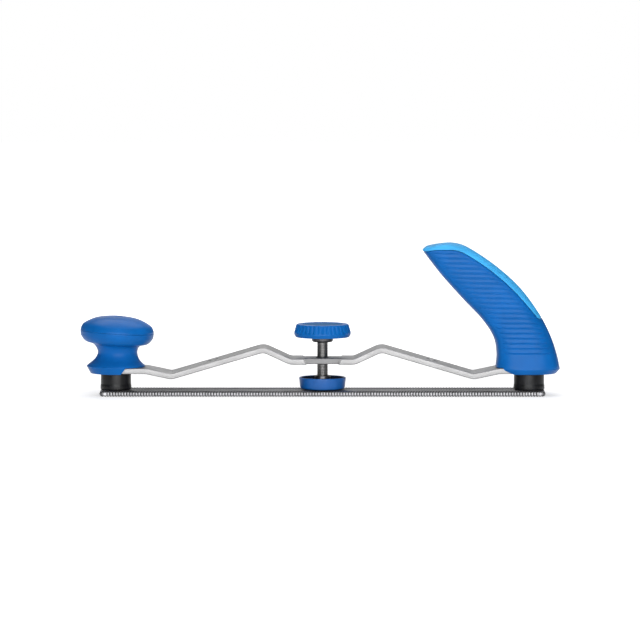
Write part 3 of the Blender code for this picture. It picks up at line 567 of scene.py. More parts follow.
def from_axis(tree, x):
    """Distance from an upright axis."""
    return vector_maths(tree, "LENGTH", place(tree, (1, 1, 0), (x, 0, 0)), output="Value")


def noise(tree, where, scale=1.0, detail=2.0, roughness=0.5):
    """The height of a fractal noise."""
    inputs = {"Vector": where, "Scale": scale, "Detail": detail, "Roughness": roughness}
    return node(tree, "TexNoise", inputs, "Fac")


def scaled(tree, value, low, high, from_low=0.3, from_high=0.7):
    """Carries a value from one range to another, held at its ends."""
    inputs = {"Value": value, "From Min": from_low, "From Max": from_high, "To Min": low, "To Max": high}
    return node(tree, "MapRange", inputs)


def blend_colours(tree, factor, low, high):
    """Mixes two colours, each given as a socket or as red, green and blue."""
    first, second = (value if isinstance(value, NodeSocket) else (*value, 1.0) for value in (low, high))
    return node(tree, "Mix", {0: factor, 6: first, 7: second}, 2, data_type="RGBA")


def tint(base, factor):
    """A colour made darker or lighter."""
    return tuple(min(part * factor, 1.0) for part in base)


def mottled(tree, factor, base, low, high):
    """A colour that wanders between a darker and a lighter tint."""
    return blend_colours(tree, factor, tint(base, low), tint(base, high))


def surface(tree, shader, shade, roughness, height, depth):
    """Links a colour, a roughness, and a height of some depth as bump, to the shader."""
    bump = node(tree, "Bump", {"Height": height, "Distance": depth, "Strength": 1.0}, "Normal")
    for socket, value in (("Base Color", shade), ("Roughness", roughness), ("Normal", bump)):
        tree.links.new(value, shader.inputs[socket])


def moulded_plastic(name, base, roughness, gloss):
    """Moulded plastic: slightly cloudy colour, a fine eroded grain and a gloss that wanders."""
    material, tree, shader = new_finish(name, {"Specular IOR Level": gloss})
    clouds = noise(tree, place(tree), scale=60.0, detail=3.0)
    grain = noise(tree, place(tree), scale=2600.0)
    shade = mottled(tree, scaled(tree, clouds, 0, 1), base, 0.9, 1.08)
    rough = scaled(tree, clouds, roughness - 0.04, roughness + 0.05)
    surface(tree, shader, shade, rough, grain, depth=0.02 * MM)
    return material


def sprayed_paint(name, base, x, inside):
    """Satin paint on metal: a faint orange peel, thin spots, and a painted shade within a radius."""
    values = {"Specular IOR Level": 0.42, "Coat Weight": 0.05, "Coat Roughness": 0.35}
    material, tree, shader = new_finish(name, values)
    peel = noise(tree, place(tree), scale=900.0, detail=1.0)
    clouds = noise(tree, place(tree), scale=90.0, detail=4.0)
    coat = mottled(tree, scaled(tree, clouds, 0, 1), base, 0.88, 1.1)
    # painted shade: within the radius the cup is nearly black
    inner_shade = scaled(tree, from_axis(tree, x), 1, 0, inside - 0.3 * MM, inside + 0.1 * MM)
    shade = blend_colours(tree, inner_shade, coat, tint(base, 0.06))
    surface(tree, shader, shade, scaled(tree, clouds, 0.34, 0.44), peel, depth=0.02 * MM)
    return material


def brushed_bar(name, base, roughness, sizes):
    """Satin metal brushed along the bar: noise drawn out along X moves colour, gloss and height. The waist's
    sides have a duller blasted field with slanted ends."""
    material, tree, shader = new_finish(name, {"Metallic": 1.0})
    lines = noise(tree, place(tree, stretch=(90.0, 4200.0, 4200.0)), detail=3.0, roughness=0.65)
    clouds = noise(tree, place(tree), scale=55.0, detail=4.0)
    mixed = maths(tree, "MULTIPLY", lines, clouds)
    satin = mottled(tree, scaled(tree, mixed, 0, 1, 0.15, 0.4), base, 0.84, 1.08)

    mirrored = vector_maths(tree, "ABSOLUTE", place(tree, centre=(SPINDLE_X, 0, FLAT_BOTTOM)))
    leaning = vector_maths(tree, "DOT_PRODUCT", mirrored, (1, 0, -sizes.waist_slant), "Value")
    within = scaled(tree, leaning, 1, 0, FIELD_HALF - 0.5 * MM, FIELD_HALF)
    across = node(tree, "SeparateXYZ", {0: mirrored}, "Y")
    side = BAR_HALF_WIDTH - sizes.waist_depth
    aside = scaled(tree, across, 0, 1, side - 0.4 * MM, side - 0.2 * MM)
    field = maths(tree, "MULTIPLY", within, aside)
    shade = blend_colours(tree, field, satin, tint(base, 0.84))
    rough = scaled(tree, lines, roughness - 0.06, roughness + 0.08)
    rough = maths(tree, "ADD", rough, scaled(tree, field, 0, 0.15, 0, 1))
    surface(tree, shader, shade, rough, lines, depth=0.012 * MM)
    return material


def turned_metal(name, base, roughness, x):
    """Metal from the lathe: fine rings about an upright axis, as noise on height and radius."""
    material, tree, shader = new_finish(name, {"Metallic": 1.0})
    height = node(tree, "SeparateXYZ", {0: place(tree)}, "Z")
    ringed = node(tree, "CombineXYZ", {"X": from_axis(tree, x), "Z": height})
    rings = noise(tree, ringed, scale=1500.0)
    clouds = noise(tree, place(tree), scale=160.0, detail=3.0)
    shade = mottled(tree, scaled(tree, clouds, 0, 1), base, 0.8, 1.15)
    rough = scaled(tree, rings, roughness - 0.05, roughness + 0.08)
    surface(tree, shader, shade, rough, rings, depth=0.01 * MM)
    return material


def file_steel(name, base, dark):
    """Hardened blade: ground crests and sides, and painted shade wherever the gullet attribute is high."""
    material, tree, shader = new_finish(name, {})
    gullet = node(tree, "Attribute", {}, "Fac", attribute_name=GULLET_SHADE)
    clouds = noise(tree, place(tree), scale=120.0, detail=4.0)
    lines = noise(tree, place(tree, stretch=(9000.0, 60.0, 9000.0)))
    ground = mottled(tree, scaled(tree, clouds, 0, 1), base, 0.8, 1.12)
    tree.links.new(scaled(tree, gullet, 1.0, 0.55, 0, 1), shader.inputs["Metallic"])
    rough = maths(tree, "ADD", scaled(tree, lines, 0.4, 0.52), scaled(tree, gullet, 0.0, 0.2, 0, 1))
    surface(tree, shader, blend_colours(tree, gullet, ground, dark), rough, lines, depth=0.006 * MM)
    return material


def dull_rubber(name, base):
    """Moulded rubber: dusty patches, a matt grain and faint upright streaks."""
    material, tree, shader = new_finish(name, {"Specular IOR Level": 0.28})
    streaks = noise(tree, place(tree, stretch=(700.0, 700.0, 60.0)), detail=3.0)
    grain = noise(tree, place(tree), scale=2200.0)
    dust = noise(tree, place(tree), scale=220.0, detail=5.0, roughness=0.7)
    worn = scaled(tree, maths(tree, "MULTIPLY", streaks, dust), 0, 1, 0.2, 0.45)
    shade = mottled(tree, worn, base, 0.6, 2.4)
    surface(tree, shader, shade, scaled(tree, dust, 0.3, 0.46), grain, depth=0.05 * MM)
    return material


def finish(slot):
    """The finish of a slot, made when it is first asked for."""
    if slot not in FINISHES:
        colours = bpy.context.scene.holder_colours
        bar = bpy.context.scene.holder_bar
        # each slot's maker, the name and colour of its finish, and what else the maker takes
        makers = {
            "blue_plastic": (moulded_plastic, "moulded_blue", colours.blue, 0.35, 0.13),
            "pale_blue_plastic": (moulded_plastic, "moulded_pale_blue", colours.pale_blue, 0.5, 0.13),
            "grey_cover": (moulded_plastic, "cover_grey_blue", colours.cover, 0.65, 0.05),
            "blue_paint": (sprayed_paint, "painted_blue", colours.paint, SPINDLE_X, CUP_SHADE_RADIUS),
            "satin_aluminium": (brushed_bar, "satin_aluminium", colours.aluminium, 0.52, bar),
            "bright_steel": (turned_metal, "turned_steel", colours.steel, 0.36, SPINDLE_X),
            "spring_steel": (turned_metal, "dark_spring_steel", colours.spring, 0.35, SPINDLE_X),
            "brass": (turned_metal, "turned_brass", colours.brass, 0.3, FRONT_X),
            "file_steel": (file_steel, "file_steel", colours.blade, colours.gullet),
            "black_rubber": (dull_rubber, "dull_rubber", colours.rubber),
        }
        maker, *values = makers[slot]
        FINISHES[slot] = maker(*values)
    return FINISHES[slot]


# File blade

EDGE_STEP = 0.05 * MM  # between two columns of the blade's grid where its shade changes
FACE_COLUMNS = 25
FACE_SHADE = 0.26  # how dark the painted shade in the gullets is on the faces, against the slanted edges
BLADE_SHARP = 24  # degrees


def blade_half(sizes, rear):
    """Half of the blade, from the screw's axis to one end, as rows along it and columns round its section.
    A row lies at x = u + bow (y / half width)^2, held to the end's outline, so it follows a curved tooth.
    The thickness falls to nothing towards the end by a quarter circle, and the tooth's depth is taken off
    both faces. A last row at half height closes the joint with the other half."""
    half_width, thickness, slant = BLADE_HALF_WIDTH, BLADE_THICKNESS, sizes.edge_slant
    count = math.ceil((BLADE_HALF_LENGTH + sizes.tooth_bow) / sizes.tooth_pitch) + 1
    tooth = np.array(TOOTH)
    numbers = np.arange(count) if rear else np.arange(-count, 0)
    run = (numbers[:, None] + tooth[:, 0]).ravel() * sizes.tooth_pitch
    depth = np.tile(tooth[:, 1], count) * sizes.tooth_depth
    if not rear:
        run, depth = np.append(run, 0.0), np.append(depth, 0.0)

    face = np.ones(FACE_COLUMNS)
    across = np.linspace(slant - half_width, half_width - slant, FACE_COLUMNS)
    out = half_width - np.array([slant - EDGE_STEP, 0, 0, 0, 0, slant - EDGE_STEP])
    up = thickness - np.array([EDGE_STEP, slant, slant + EDGE_STEP])
    down = np.concatenate([up, thickness - up[::-1]])
    y = np.concatenate([across, out, across[::-1], -out])
    z = np.concatenate([face * thickness, down, 0 * face, down[::-1]])
    toothed_side = np.array([1, 0, 0, 0, 0, 1])
    toothed = np.concatenate([face, toothed_side, face, toothed_side])
    nick = np.concatenate([0 * face, 1 - toothed_side, 0 * face, toothed_side - 1])

    beyond = np.maximum(np.abs(y) - (half_width - sizes.corner), 0)
    reach = BLADE_HALF_LENGTH - sizes.corner + np.sqrt(sizes.corner**2 - beyond**2)
    x = run[:, None] + sizes.tooth_bow * (y / half_width) ** 2
    x = np.where(np.abs(x) > reach - EDGE_STEP, np.sign(x) * reach, x)
    to_end = reach - np.abs(x)
    round_end = np.sqrt(1 - (1 - np.clip(to_end / (thickness / 2), 0, 1)) ** 2)
    cut = depth[:, None] * fade_in(to_end, thickness / 4, 2 * thickness / 3)
    from_middle = z - thickness / 2
    height = thickness / 2 + round_end * (from_middle - np.sign(from_middle) * cut * toothed)
    side = y - nick * sizes.edge_nick * cut / sizes.tooth_depth
    grid = np.stack([SPINDLE_X + x, side, height], axis=-1)
    joint = grid[0 if rear else -1] * (1, 1, 0) + (0, 0, thickness / 2)
    return np.concatenate([joint[None], grid] if rear else [grid, joint[None]])


def paint_gullet_shade(piece, sizes):
    """Stores each point's painted shade, as 0 to 1: a share of its depth below the crests on the faces, more
    on the slanted edges, and ticks on the sides where the gullets nick them."""
    places = np.empty(len(piece.data.vertices) * 3)
    piece.data.vertices.foreach_get("co", places)
    y, z = np.abs(places[1::3]), places[2::3]
    below = np.minimum(BLADE_THICKNESS - z, z)
    # painted shade: deeper points are darker, the slanted edges wholly dark and the nicks in the sides dark
    gullet = FACE_SHADE * smooth_step(below / (0.5 * sizes.tooth_depth))
    gullet[y > BLADE_HALF_WIDTH - sizes.edge_slant + EDGE_STEP / 2] = 1
    tick = np.clip((BLADE_HALF_WIDTH - y) / sizes.edge_nick, 0, 1)
    side = (y > BLADE_HALF_WIDTH - sizes.edge_slant / 2) & (below > sizes.edge_slant + EDGE_STEP / 2)
    gullet[side] = tick[side]
    attribute = piece.data.attributes.new(GULLET_SHADE, "FLOAT", "POINT")
    attribute.data.foreach_set("value", gullet)


def screw_shank(screw):
    """The radius of a screw's shank: M6 at the ends and M5 in the middle."""
    return 2.5 * MM if screw.startswith("centre") else 3 * MM


def screw_hole(screw):
    """The countersunk hole of a screw, head down: its head, a cone and its shank, all a little larger."""
    face = node_heights(screw)[0]
    head, shank = node_radius(screw) + SEAT, screw_shank(screw) + SEAT
    profile = [(head, -MM), (head, face), (shank, face + head - shank), (shank, BLADE_THICKNESS + MM)]
    return grid_object(screw + "_hole", turned(profile, node_middle(screw), DRILL_COLUMNS))


def follow_cup(piece):
    """Bakes the place of half of the blade, or of the floor that it lies on, into its points."""
    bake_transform(piece)


class HOLDER_OT_blade(Operator):
    """Builds the toothed file blade in two halves"""

    bl_idname = "holder.blade"
    bl_label = "File blade"

    def execute(self, context):
        sizes = context.scene.holder_blade
        halves = (("blade_front", False, "front_file_screw"), ("blade_rear", True, "rear_file_screw"))
        for name, rear, screw in halves:
            piece = grid_object(name, blade_half(sizes, rear))
            carve(piece, screw_hole(screw), screw_hole("centre_file_screw"))
            paint_gullet_shade(piece, sizes)
            dress(piece, "file_steel", "file_blade", sharp=BLADE_SHARP)
            follow_cup(piece)
        return {"FINISHED"}


# Bent bar

ROW_STEP = 1.5 * MM  # between the bar's cross-sections
LEAN_REACH = 6 * MM  # from a waist's end to where the cross-sections stand square again
EDGE_COLUMNS = 6
TOP_COLUMNS = 7
MARK_ABOVE = 3 * MM  # from the bar to the upper end of a mark's drill


def bar_line(thickness):
    """The bar's middle line from end to end, as x, height and slope, with its bends rounded."""
    end = (HANDLE_REACH + BAR_HALF_WIDTH) / MM + 1
    rear = [*BAR_BENDS, (end, 0, 0)]
    line = filleted([(-x, z, radius) for x, z, radius in reversed(rear)] + rear, 16) * MM
    slope = np.arctan2(np.gradient(line[:, 1]), np.gradient(line[:, 0]))
    return SPINDLE_X + line[:, 0], PAD_BOTTOM + thickness / 2 + line[:, 1], slope


def bar_rows(sizes):
    """Where the bar's cross-sections lie: evenly along it, and close together round its ends and waist."""
    even = np.arange(-HANDLE_REACH, HANDLE_REACH, ROW_STEP)
    waist = np.array([sizes.waist_outer, sizes.waist_inner])
    end = HANDLE_REACH + BAR_HALF_WIDTH * np.sin(np.linspace(0, math.pi / 2, 20))
    return SPINDLE_X + np.unique(np.round(np.concatenate([even, waist, -waist, end, -end]), 7))


def bar_section():
    """A rounded rectangle as columns once round. Each is a share of half the straight width, the sign of
    its face, and the two parts of its rounding. The lower half is the upper one turned by half a turn."""
    turn = np.linspace(0, math.pi / 2, EDGE_COLUMNS)
    corner, flat = np.ones(EDGE_COLUMNS), np.linspace(1, -1, TOP_COLUMNS + 2)[1:-1]
    width = np.concatenate([corner, flat, -corner])
    out = np.concatenate([np.cos(turn), 0 * flat, -np.sin(turn)])
    up = np.concatenate([np.sin(turn), 0 * flat + 1, np.cos(turn)])
    return (np.concatenate([half, -half]) for half in (width, np.ones(len(width)), out, up))


def bar_grid(sizes):
    """The bar: a rounded rectangle carried along the bent line, square to it. Its half width follows the
    waist at the screw and a circle at each end, and the sections lean outwards at the waist's ends."""
    line_x, line_z, slope = bar_line(sizes.thickness)
    x = bar_rows(sizes)
    from_screw = np.abs(x - SPINDLE_X)
    narrow = BAR_HALF_WIDTH - sizes.waist_depth
    waist = np.interp(from_screw, [sizes.waist_inner, sizes.waist_outer], [narrow, BAR_HALF_WIDTH])
    past_axis = np.maximum(from_screw - HANDLE_REACH, 0)
    round_end = np.sqrt(np.maximum(BAR_HALF_WIDTH**2 - past_axis**2, 0))
    half_width = np.minimum(waist, round_end)[:, None]
    edge = np.minimum(sizes.edge, half_width)
    width, face, out, up = bar_section()
    y = width * (half_width - edge) + out * edge
    height = face * (sizes.thickness / 2 - sizes.edge) + up * sizes.edge
    turn = np.interp(x, line_x, slope)[:, None]
    middle = np.interp(x, line_x, line_z)[:, None]
    near_waist = 1 - smooth_step(np.abs(from_screw - sizes.waist_outer) / LEAN_REACH)
    lean = (sizes.waist_slant * near_waist * np.sign(x - SPINDLE_X))[:, None]
    along = x[:, None] + height * (lean - np.sin(turn))
    return np.stack([along, y, middle + height * np.cos(turn)], axis=-1)


def bar_marks(sizes):
    """Drills for the small punch marks along the upper edges, two on each side of the screw."""
    line_x, line_z, _ = bar_line(sizes.thickness)
    aside = BAR_HALF_WIDTH - sizes.mark_inset
    marks = []
    for x in (SPINDLE_X - sizes.mark_from_screw, SPINDLE_X + sizes.mark_from_screw):
        top = np.interp(x, line_x, line_z) + sizes.thickness / 2
        for y in (-aside, aside):
            heights = top - sizes.mark_depth, top + MARK_ABOVE
            rings = turned([(sizes.mark, height) for height in heights], x, columns=16)
            marks.append(grid_object(f"bar_mark_{len(marks)}", rings + np.array([0, y, 0])))
    return marks


class HOLDER_OT_bar(Operator):
    """Builds the bent bar with its holes, and the bush that the screw runs in"""

    bl_idname = "holder.bar"
    bl_label = "Bent bar"

    def execute(self, context):
        sizes = context.scene.holder_bar
        outer = node_radius("spindle_bush")
        holes = (
            (FRONT_X, sizes.stud_hole),
            (REAR_X, sizes.stud_hole),
            (SPINDLE_X, outer + SEAT / 2),
            (FRONT_X + sizes.hole_from_end, sizes.hole),
            (REAR_X - sizes.hole_from_end, sizes.hole),
        )
        bar = grid_object("bent_bar", bar_grid(sizes))
        carve(bar, *(drill(f"bar_drill_{i}", *hole, BAR_TOP + MM) for i, hole in enumerate(holes)))
        carve(bar, *bar_marks(sizes))
        dress(bar, "satin_aluminium", "frame_bar", "frame")

        bottom, top = node_heights("spindle_bush")
        bore, edge = SCREW_RADIUS + RUNNING, context.scene.holder_adjuster.edge
        profile = [(bore, bottom, 0), (outer, bottom, 0), (outer, top, edge), (bore, top, 0)]
        bush = turned_object("screw_bush", profile, SPINDLE_X, steps=3, ring=True)
        dress(bush, "bright_steel", "spindle_bush", "frame", look="spring_steel")
        return {"FINISHED"}


# Front knob

KNOB_STEPS = 14  # points of the knob's side from one given point to the next


def lean_to_rear(points, sizes):
    """Tilts a turned grid towards the rear: the axis's angle grows by a smooth step from the skirt to the
    underside of the head, and its shift is the integral of that angle. The neck bows out by one arch of a
    squared sine on top of that."""
    low = PAD_BOTTOM + KNOB_SKIRT[1] * MM
    span = PAD_BOTTOM + KNOB_HEAD[0][1] * MM - low
    from_axis, z = points[..., 0] - FRONT_X, points[..., 2]
    t = np.clip((z - low) / span, 0, 1)
    tilt = sizes.lean * smooth_step(t)
    shift = sizes.lean * (span * (t**3 - t**4 / 2) + np.maximum(z - low - span, 0))
    shift = shift + sizes.neck_shift * np.sin(math.pi * t) ** 2
    x = FRONT_X + from_axis * np.cos(tilt) + shift
    return np.stack([x, points[..., 1], z - from_axis * np.sin(tilt)], axis=-1)


def knob_part(name, corners, sizes):
    """A leaning part of the knob, on the corners of its side above the underside of the bar's pad."""
    profile = filleted(corners) + np.array([0, PAD_BOTTOM])
    return grid_object(name, lean_to_rear(turned(profile, FRONT_X, columns=128), sizes))


def bar_end_pocket(name, x, inwards):
    """The room for the bar's round end: half a circle about the axis, open towards the screw and below."""
    radius = BAR_HALF_WIDTH + SEAT
    turn = np.linspace(math.pi / 2, 3 * math.pi / 2, 33)
    plan = np.column_stack([inwards * radius * np.cos(turn), radius * np.sin(turn)])
    mouth = inwards * 3 * radius
    plan = np.concatenate([plan, [(mouth, -radius), (mouth, radius)]])
    outline = np.column_stack([x + plan[:, 0], plan[:, 1], np.zeros(len(plan))])
    return prism(name, outline, (0, 0, POCKET_ROOF))


def insert_bore(name, insert):
    """The room for a threaded insert, from below."""
    return drill(name, node_middle(insert), node_radius(insert) + SEAT, node_heights(insert)[1] + SEAT)


def knob_mouth(name, sizes):
    """The opening in the knob's skirt where the bar goes in, as a prism across it."""
    beyond = 2 * KNOB_SKIRT[0] * MM
    foot = PAD_BOTTOM + KNOB_FOOT[1] * MM
    outline = [(sizes.mouth_foot, 0), (sizes.mouth_foot, foot), (sizes.mouth_top, POCKET_ROOF)]
    outline += [(beyond, POCKET_ROOF), (beyond, 0)]
    return prism(name, [(FRONT_X + x, -beyond, z) for x, z in outline], (0, 2 * beyond, 0))


class HOLDER_OT_front_knob(Operator):
    """Builds the leaning mushroom knob and its crown over the seam"""

    bl_idname = "holder.front_knob"
    bl_label = "Front knob"

    def execute(self, context):
        sizes = context.scene.holder_knob
        # the first points of the stem give way to the skirt's rounded edge
        stem = spline([KNOB_SKIRT, *KNOB_NECK, *KNOB_HEAD], KNOB_STEPS)[3:] * MM
        foot, skirt, seam = np.array(KNOB_FOOT) * MM, np.array(KNOB_SKIRT) * MM, stem[-1]
        side = [(0, foot[1], 0), (*foot, sizes.edge), (*skirt, sizes.edge)]
        side += [(*point, 0) for point in stem if point[1] < seam[1] - 2 * sizes.seam_edge]
        side += [(*seam, sizes.seam_edge), (0, seam[1], 0)]
        body = knob_part("knob_body", side, sizes)
        carve(
            body,
            bar_end_pocket("knob_pocket", FRONT_X, 1),
            knob_mouth("knob_mouth", sizes),
            insert_bore("knob_bore", "front_knob_insert"),
        )
        dress(body, "blue_plastic", "front_knob", "frame")

        crown = spline(KNOB_CROWN, KNOB_STEPS) * MM
        side = [(0, crown[0, 1], 0), (*crown[0], sizes.seam_edge)] + [(*point, 0) for point in crown[2:]]
        dress(knob_part("knob_crown", side, sizes), "blue_plastic", "front_knob_cap", "frame")
        return {"FINISHED"}


# Rear handle

GRIP_STEPS = 38  # cross-sections from one of the handle's stations to the next
PAD_STEPS = 12  # points of the pad's edge from one station to the next
MIDDLE_CLEAR = 2 * MM  # half the width of the band along the middle that has no grooves
PAD_FADE = 1.5 * MM  # length over which a groove runs out towards the pad
HANDLE_SHARP = 40  # degrees


def bowed(a, b, c, steps):
    """A curve from a to c that bends towards b: (1-t)^2 a + 2t(1-t) b + t^2 c."""
    t = np.linspace(0, 1, steps)[:, None]
    return (1 - t) ** 2 * a + 2 * t * (1 - t) * b + t**2 * c


def handle_stations(sizes):
    """Front and back points and half width of every cross-section, foot to tip, in metres, with the edges
    at the foot and the rim rounded."""
    foot = np.array(HANDLE_FOOT) * MM
    grip = spline(HANDLE_STATIONS, GRIP_STEPS) * MM
    rim = grip[0]
    inset = sizes.edge * np.array([1, 0, -1, 0, -1])
    to_rim = (rim - foot) / (rim[1] - foot[1])
    low_edge = bowed(foot + inset, foot, foot + to_rim * sizes.edge, 5)
    above = int(np.argmax(grip[:, 1] > rim[1] + sizes.edge))
    rim_edge = bowed(rim - to_rim * sizes.edge, rim, grip[above], 6)
    return np.concatenate([low_edge, rim_edge, grip[above + 1 :]])


def handle_grid(sizes, columns=160):
    """The whole handle with its pad, and how far along its section each point lies, from -1 at the front to
    1 at the back. Each cross-section lies in the plane of its front and back points. Its outline is
    |a|^n + |b|^n = 1, drawn as a radius over the angle, with n growing from base to grip."""
    stations = handle_stations(sizes)
    level = np.zeros(len(stations))
    front = np.column_stack([REAR_X + stations[:, 0], level, PAD_BOTTOM + stations[:, 1]])
    back = np.column_stack([REAR_X + stations[:, 2], level, PAD_BOTTOM + stations[:, 3]])
    middle, reach = ((front + back) / 2)[:, None], ((back - front) / 2)[:, None]
    width = stations[:, 4][:, None, None] * np.array([0, 1, 0])
    rise = smooth_step((front[:, 2] - front[0, 2]) / sizes.base_height)
    power = (sizes.base_squareness + (sizes.grip_squareness - sizes.base_squareness) * rise)[:, None]
    turn = full_turn(columns)
    radius = (np.abs(np.cos(turn)) ** power + np.abs(np.sin(turn)) ** power) ** (-1 / power)
    along, across = radius * np.cos(turn), radius * np.sin(turn)
    return middle + reach * along[..., None] + width * across[..., None], along


def pad_edge(sizes):
    """The back edge of the grip above the pad's start, its inward directions, its direction there, and the
    pad's depth, which grows from the tail by 1 - (1 - t)^2 over the taper and shrinks to the tip by a
    smooth step."""
    stations = spline(HANDLE_STATIONS, PAD_STEPS)[int(sizes.pad_start * PAD_STEPS) :] * MM
    back = np.column_stack([REAR_X + stations[:, 2], PAD_BOTTOM + stations[:, 3]])
    tangent = np.gradient(back, axis=0)
    tangent /= np.linalg.norm(tangent, axis=1, keepdims=True)
    run = run_lengths(back)
    left = 1 - np.clip((run - sizes.pad_end) / sizes.pad_taper, 0, 1)
    near_tip = smooth_step(1 - (run[-1] - run) / sizes.pad_narrowing)
    lost = (sizes.pad_depth - sizes.pad_tail) * left**2 + (sizes.pad_depth - sizes.pad_tip) * near_tip
    depth = (sizes.pad_depth - lost)[:, None]
    return back, np.column_stack([-tangent[:, 1], tangent[:, 0]]), tangent[0], depth


def pad_line(sizes, gap):
    """The pad's inner boundary in side view, from its rounded lower end to past the tip."""
    back, inward, along, depth = pad_edge(sizes)
    turn = np.linspace(0, math.pi / 2, 16, endpoint=False)[:, None]
    deep = (sizes.pad_tail + gap) * np.sin(turn)
    round_end = back[0] + inward[0] * deep + along * (sizes.pad_end * (1 - np.cos(turn)) - gap)
    inner = back + inward * (depth + gap)
    inner = inner[(inner - back[0]) @ along > sizes.pad_end]
    beyond = inner[-1] + unit(inner[-1] - inner[-2]) * 4 * sizes.pad_depth
    return np.concatenate([round_end, inner, beyond[None]])


def pad_region(name, sizes, gap):
    """The pad in side view as a prism across the handle: from its boundary to well behind the grip."""
    back, inward, along, _ = pad_edge(sizes)
    outer = back - inward * 4 * sizes.pad_depth
    start = outer[0] - along * gap
    outline = np.concatenate([start[None], pad_line(sizes, gap), outer[:0:-1]])
    points = np.column_stack([outline[:, 0], np.full(len(outline), -2 * BAR_HALF_WIDTH), outline[:, 1]])
    return prism(name, points, (0, 4 * BAR_HALF_WIDTH, 0))


def distance_to_line(places, line):
    """How far each place lies from a line of straight runs, and on which side, left being positive."""
    a, b = line[:-1], line[1:]
    run = b - a
    offset = places[:, None] - a
    t = np.clip((offset * run).sum(-1) / (run * run).sum(-1), 0, 1)
    distance = np.linalg.norm(offset - t[..., None] * run, axis=-1)
    nearest = distance.argmin(axis=1)
    rows = np.arange(len(places))
    side = np.sign(run[nearest, 0] * offset[rows, nearest, 1] - run[nearest, 1] * offset[rows, nearest, 0])
    return distance[rows, nearest] * side


def cut_grooves(grid, along, sizes):
    """Sinks level grooves into the sides and a fine groove along the pad's boundary: each point moves in
    along its normal by the grooves' depth there. A groove's section is one wave of a cosine, and it runs
    out by smooth steps at the front, at the back and at the pad."""
    front_to_back = np.linalg.norm(grid[:, 0] - grid[:, grid.shape[1] // 2], axis=1)[:, None]
    from_front = (1 + along) / 2 * front_to_back
    from_back = front_to_back - from_front
    flat = grid[..., [0, 2]].reshape(-1, 2)
    to_pad = distance_to_line(flat, pad_line(sizes, 0)).reshape(along.shape)
    number = (grid[..., 2] - sizes.groove_start) / sizes.groove_pitch
    off = np.abs(number - np.round(number)) * sizes.groove_pitch / (sizes.groove_width / 2)
    groove = np.where(off < 1, 0.5 + 0.5 * np.cos(math.pi * np.minimum(off, 1)), 0)
    groove *= (number > -0.5) & (np.abs(grid[..., 1]) > MIDDLE_CLEAR)
    groove *= fade_in(from_front, sizes.groove_inset, sizes.groove_fade)
    groove *= fade_in(from_back, sizes.groove_fade, sizes.groove_fade)
    behind = from_back < 2.5 * sizes.pad_depth
    groove *= np.where(behind, fade_in(np.abs(to_pad), sizes.groove_gap, PAD_FADE), 1)
    groove[behind & (to_pad < 0)] = 0
    seam = smooth_step(1 - np.abs(to_pad) / (sizes.seam_width / 2)) * sizes.seam_depth
    depth = np.maximum(groove * sizes.groove_depth, seam)
    return grid - grid_normals(grid) * depth[..., None]


class HOLDER_OT_rear_handle(Operator):
    """Builds the grooved handle and the pale pad along its back"""

    bl_idname = "holder.rear_handle"
    bl_label = "Rear handle"

    def execute(self, context):
        sizes = context.scene.holder_handle
        grooved = cut_grooves(*handle_grid(sizes), sizes)
        handle = grid_object("handle_body", grooved)
        carve(
            handle,
            insert_bore("handle_bore", "rear_handle_insert"),
            bar_end_pocket("handle_pocket", REAR_X, -1),
            pad_region("pad_seat", sizes, SEAT),
        )
        dress(handle, "blue_plastic", "rear_handle", "frame", sharp=HANDLE_SHARP)
        pad = grid_object("handle_pad", grooved)
        carve(pad, pad_region("pad_band", sizes, 0), operation="INTERSECT")
        dress(pad, "pale_blue_plastic", "rear_grip_pad", "frame", sharp=HANDLE_SHARP)
        return {"FINISHED"}


# Buffers and thrust cup


class HOLDER_OT_buffers(Operator):
    """Builds the rubber buffers, a little narrower above a low foot"""

    bl_idname = "holder.buffers"
    bl_label = "Rubber buffers"

    def execute(self, context):
        sizes = context.scene.holder_cup
        bend, draft = 2 * MM, 0.1 * MM
        for name, node_name in (("buffer_front", "front_buffer"), ("buffer_rear", "rear_buffer")):
            bottom, top = node_heights(node_name)
            foot = node_radius(node_name)
            neck = foot - sizes.buffer_taper
            waist = bottom + sizes.buffer_foot * (top - bottom)
            profile = [
                (0, bottom, 0),
                (foot, bottom, sizes.buffer_edge),
                (foot - draft, waist, bend),
                (neck, waist + sizes.buffer_step, bend),
                (neck, top, sizes.buffer_edge),
                (0, top, 0),
            ]
            piece = turned_object(name, profile, node_middle(node_name), steps=6, columns=96)
            dress(piece, "black_rubber", node_name, "frame")
        return {"FINISHED"}


